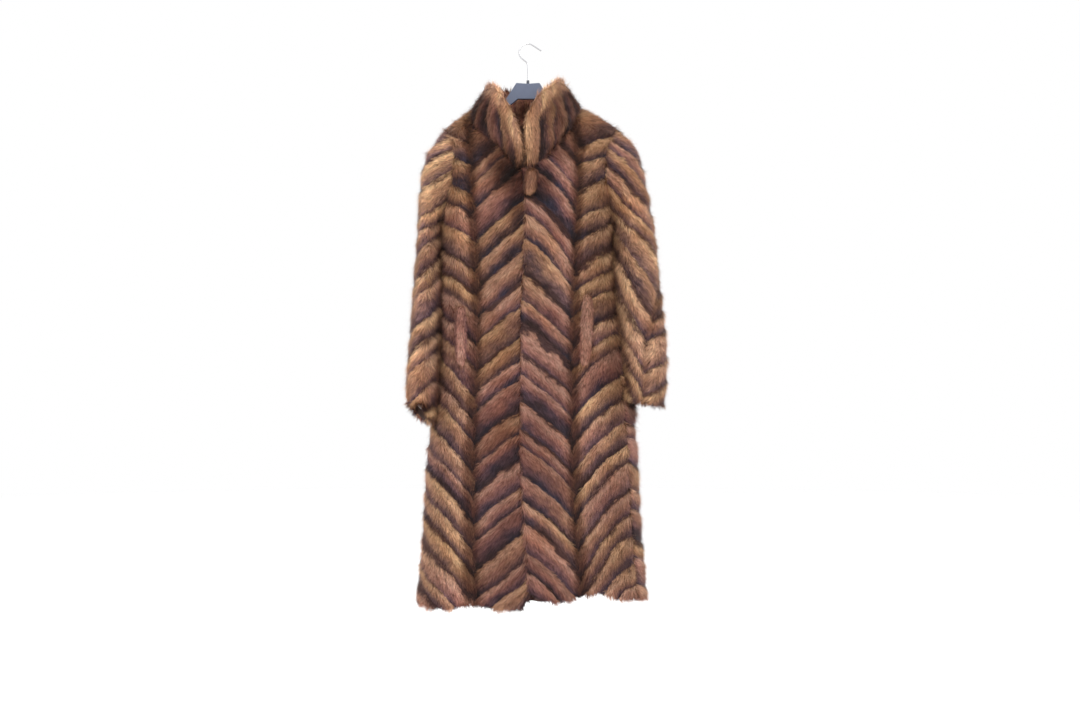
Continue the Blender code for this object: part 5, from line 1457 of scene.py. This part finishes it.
# %% Welt and tab shells
SMALL_COLUMNS = ("node", "family", "rose", "deep", "long")
SMALL_ROWS = (
    ("pocket_welt_right", 21.0, 0.36, 1.04, 0.62),
    ("pocket_welt_left", 22.0, 0.30, 0.84, 0.62),
    ("front_tab", 23.0, -0.10, 0.86, 0.60),
)
SMALL_BAND = 0.3
for row in SMALL_ROWS:
    piece = dict(zip(SMALL_COLUMNS, row))
    shell = finer_copy(piece["node"], "shell_" + piece["node"])
    mesh = shell.data
    points, normals = point_array(mesh), normal_array(mesh)
    furred = ramp(-normals[:, 1], -0.3, 0.2)
    # The middle of each piece is the light part of a strip, and its two sides are deeper.
    middle, half = (points[:, 0].max() + points[:, 0].min()) / 2, np.ptp(points[:, 0]) / 2
    phase = piece["family"] + 0.64 - 0.30 * (np.abs(points[:, 0] - middle) / half) ** 3.0
    lie = laid(np.tile([STRAIGHT_DOWN], (len(points), 1)), normals)
    strip = {"phase": phase, "run": points[:, 2], "long": piece["long"], "band": SMALL_BAND}
    look = {"family": piece["family"], "rose": piece["rose"]}
    finish_shell(shell, normals, lie, furred, piece["deep"], **strip, **look)
    SHELLS[piece["node"]] = (shell, "fur_light_brown")
print("all shells:", len(SHELLS))

# %% [markdown]
# ## The pile on every shell
#
# The tree grows the pile on each shell in turn, each with a seed of its own, and the solid that the shell
# was copied from is hidden.

# %% Grow the pile on every shell
made_hairs, shell_faces = 0, 0
for seed, (node, (shell, slot)) in enumerate(SHELLS.items()):
    pile = grow(shell, "pile_" + node, seed + 1)
    made_hairs += len(pile.data.polygons)
    shell_faces += len(shell.data.polygons)
    for piece in (shell, pile):
        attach(piece, "root")
    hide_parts(node)
    print(node, len(pile.data.polygons), "hairs")
print("hairs in all:", made_hairs, "on shells of", shell_faces, "triangles")

# %% [markdown]
# ## The hanger
#
# The hanger's body is moulded plastic, slate blue, with a satin surface. Its hook is bent from steel wire
# and polished, and it stands in a short dark ferrule. The two moulded solids already have their true shape
# and only get a finish. The solid's wire has eight sides, so the hook is made again on the same line, as a
# curve with a round bevel, which is the quickest way to any bent wire.


# %% Moulded plastic and steel wire
def plastic(name, hex_colour, rough):
    """Moulded polystyrene: one colour through and through, with the faint orange peel of the mould."""
    made, tree, shader = new_material(name)
    place = add(tree, "ShaderNodeTexCoord", output="Object")
    cloud = add(tree, "ShaderNodeTexNoise", {"Vector": place, "Scale": 60.0, "Detail": 3.0})
    dark = tuple(0.8 * c for c in linear(hex_colour)[:3]) + (1.0,)
    colour = add(tree, "ShaderNodeMix", {0: cloud, 6: dark, 7: linear(hex_colour)}, 2, data_type="RGBA")
    patchy = add(tree, "ShaderNodeMath", (cloud, 0.12, rough - 0.06), operation="MULTIPLY_ADD")
    # Grain 0.8 mm across.
    grain = add(tree, "ShaderNodeTexNoise", {"Vector": place, "Scale": 1200.0})
    bump = add(tree, "ShaderNodeBump", {"Height": grain, "Strength": 0.12, "Distance": 0.0003})
    feed(tree, shader, {"Base Color": colour, "Roughness": patchy, "Normal": bump, "IOR": 1.5})
    return made


def wire_steel():
    """Drawn steel wire, nickel plated: bright, with fine marks along the draw."""
    made, tree, shader = new_material("nickel plated steel wire, drawn")
    place = add(tree, "ShaderNodeTexCoord", output="Object")
    marks = add(tree, "ShaderNodeTexNoise", {"Vector": place, "Scale": 700.0, "Detail": 2.0})
    rough = add(tree, "ShaderNodeMath", (marks, 0.2, 0.14), operation="MULTIPLY_ADD")
    feed(tree, shader, {"Base Color": linear("#C9C9CC"), "Metallic": 1.0, "Roughness": rough})
    return made


# %% The hanger's body and ferrule
for node, name, hex_colour, rough in (
    ("hanger_body", "polystyrene, moulded, slate blue", "#565E72", 0.34),
    ("hanger_ferrule", "polystyrene, moulded, dark grey", "#3A3E48", 0.40),
):
    NODES[node].data.materials.clear()
    NODES[node].data.materials.append(plastic(name, hex_colour, rough))
    print(node, "is", name)

# %% The hook's wire
HOOK_WIRE = 0.0016
HOOK_RADIUS = 0.0211
HOOK_START, HOOK_END = 218, 68
HOOK_FOOT = -0.0864
HOOK_SHANK = ((0.0, -0.0580), (-0.0008, -0.0480), (-0.0040, -0.0425))
HOOK_TIP = (0.0320, -0.0155)

angles = np.radians(np.linspace(HOOK_START, HOOK_END, 40))
bow = [(HOOK_RADIUS * math.cos(a), HOOK_WIRE - HOOK_RADIUS + HOOK_RADIUS * math.sin(a)) for a in angles]
route = [(0.0, HOOK_FOOT), *HOOK_SHANK, *bow, HOOK_TIP]
line = bpy.data.curves.new("hook", "CURVE")
line.dimensions = "3D"
line.bevel_depth, line.bevel_resolution, line.use_fill_caps = HOOK_WIRE, 6, True
spline = line.splines.new("POLY")
spline.points.add(len(route) - 1)
for point, (x, z) in zip(spline.points, route):
    point.co = (x, 0, z, 1)
line.materials.append(wire_steel())
hook = link_in(bpy.data.objects.new("hook", line))
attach(hook, "root")
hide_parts("hanger_hook")
print("hook: wire", 2000 * HOOK_WIRE, "mm thick,", len(route), "points")
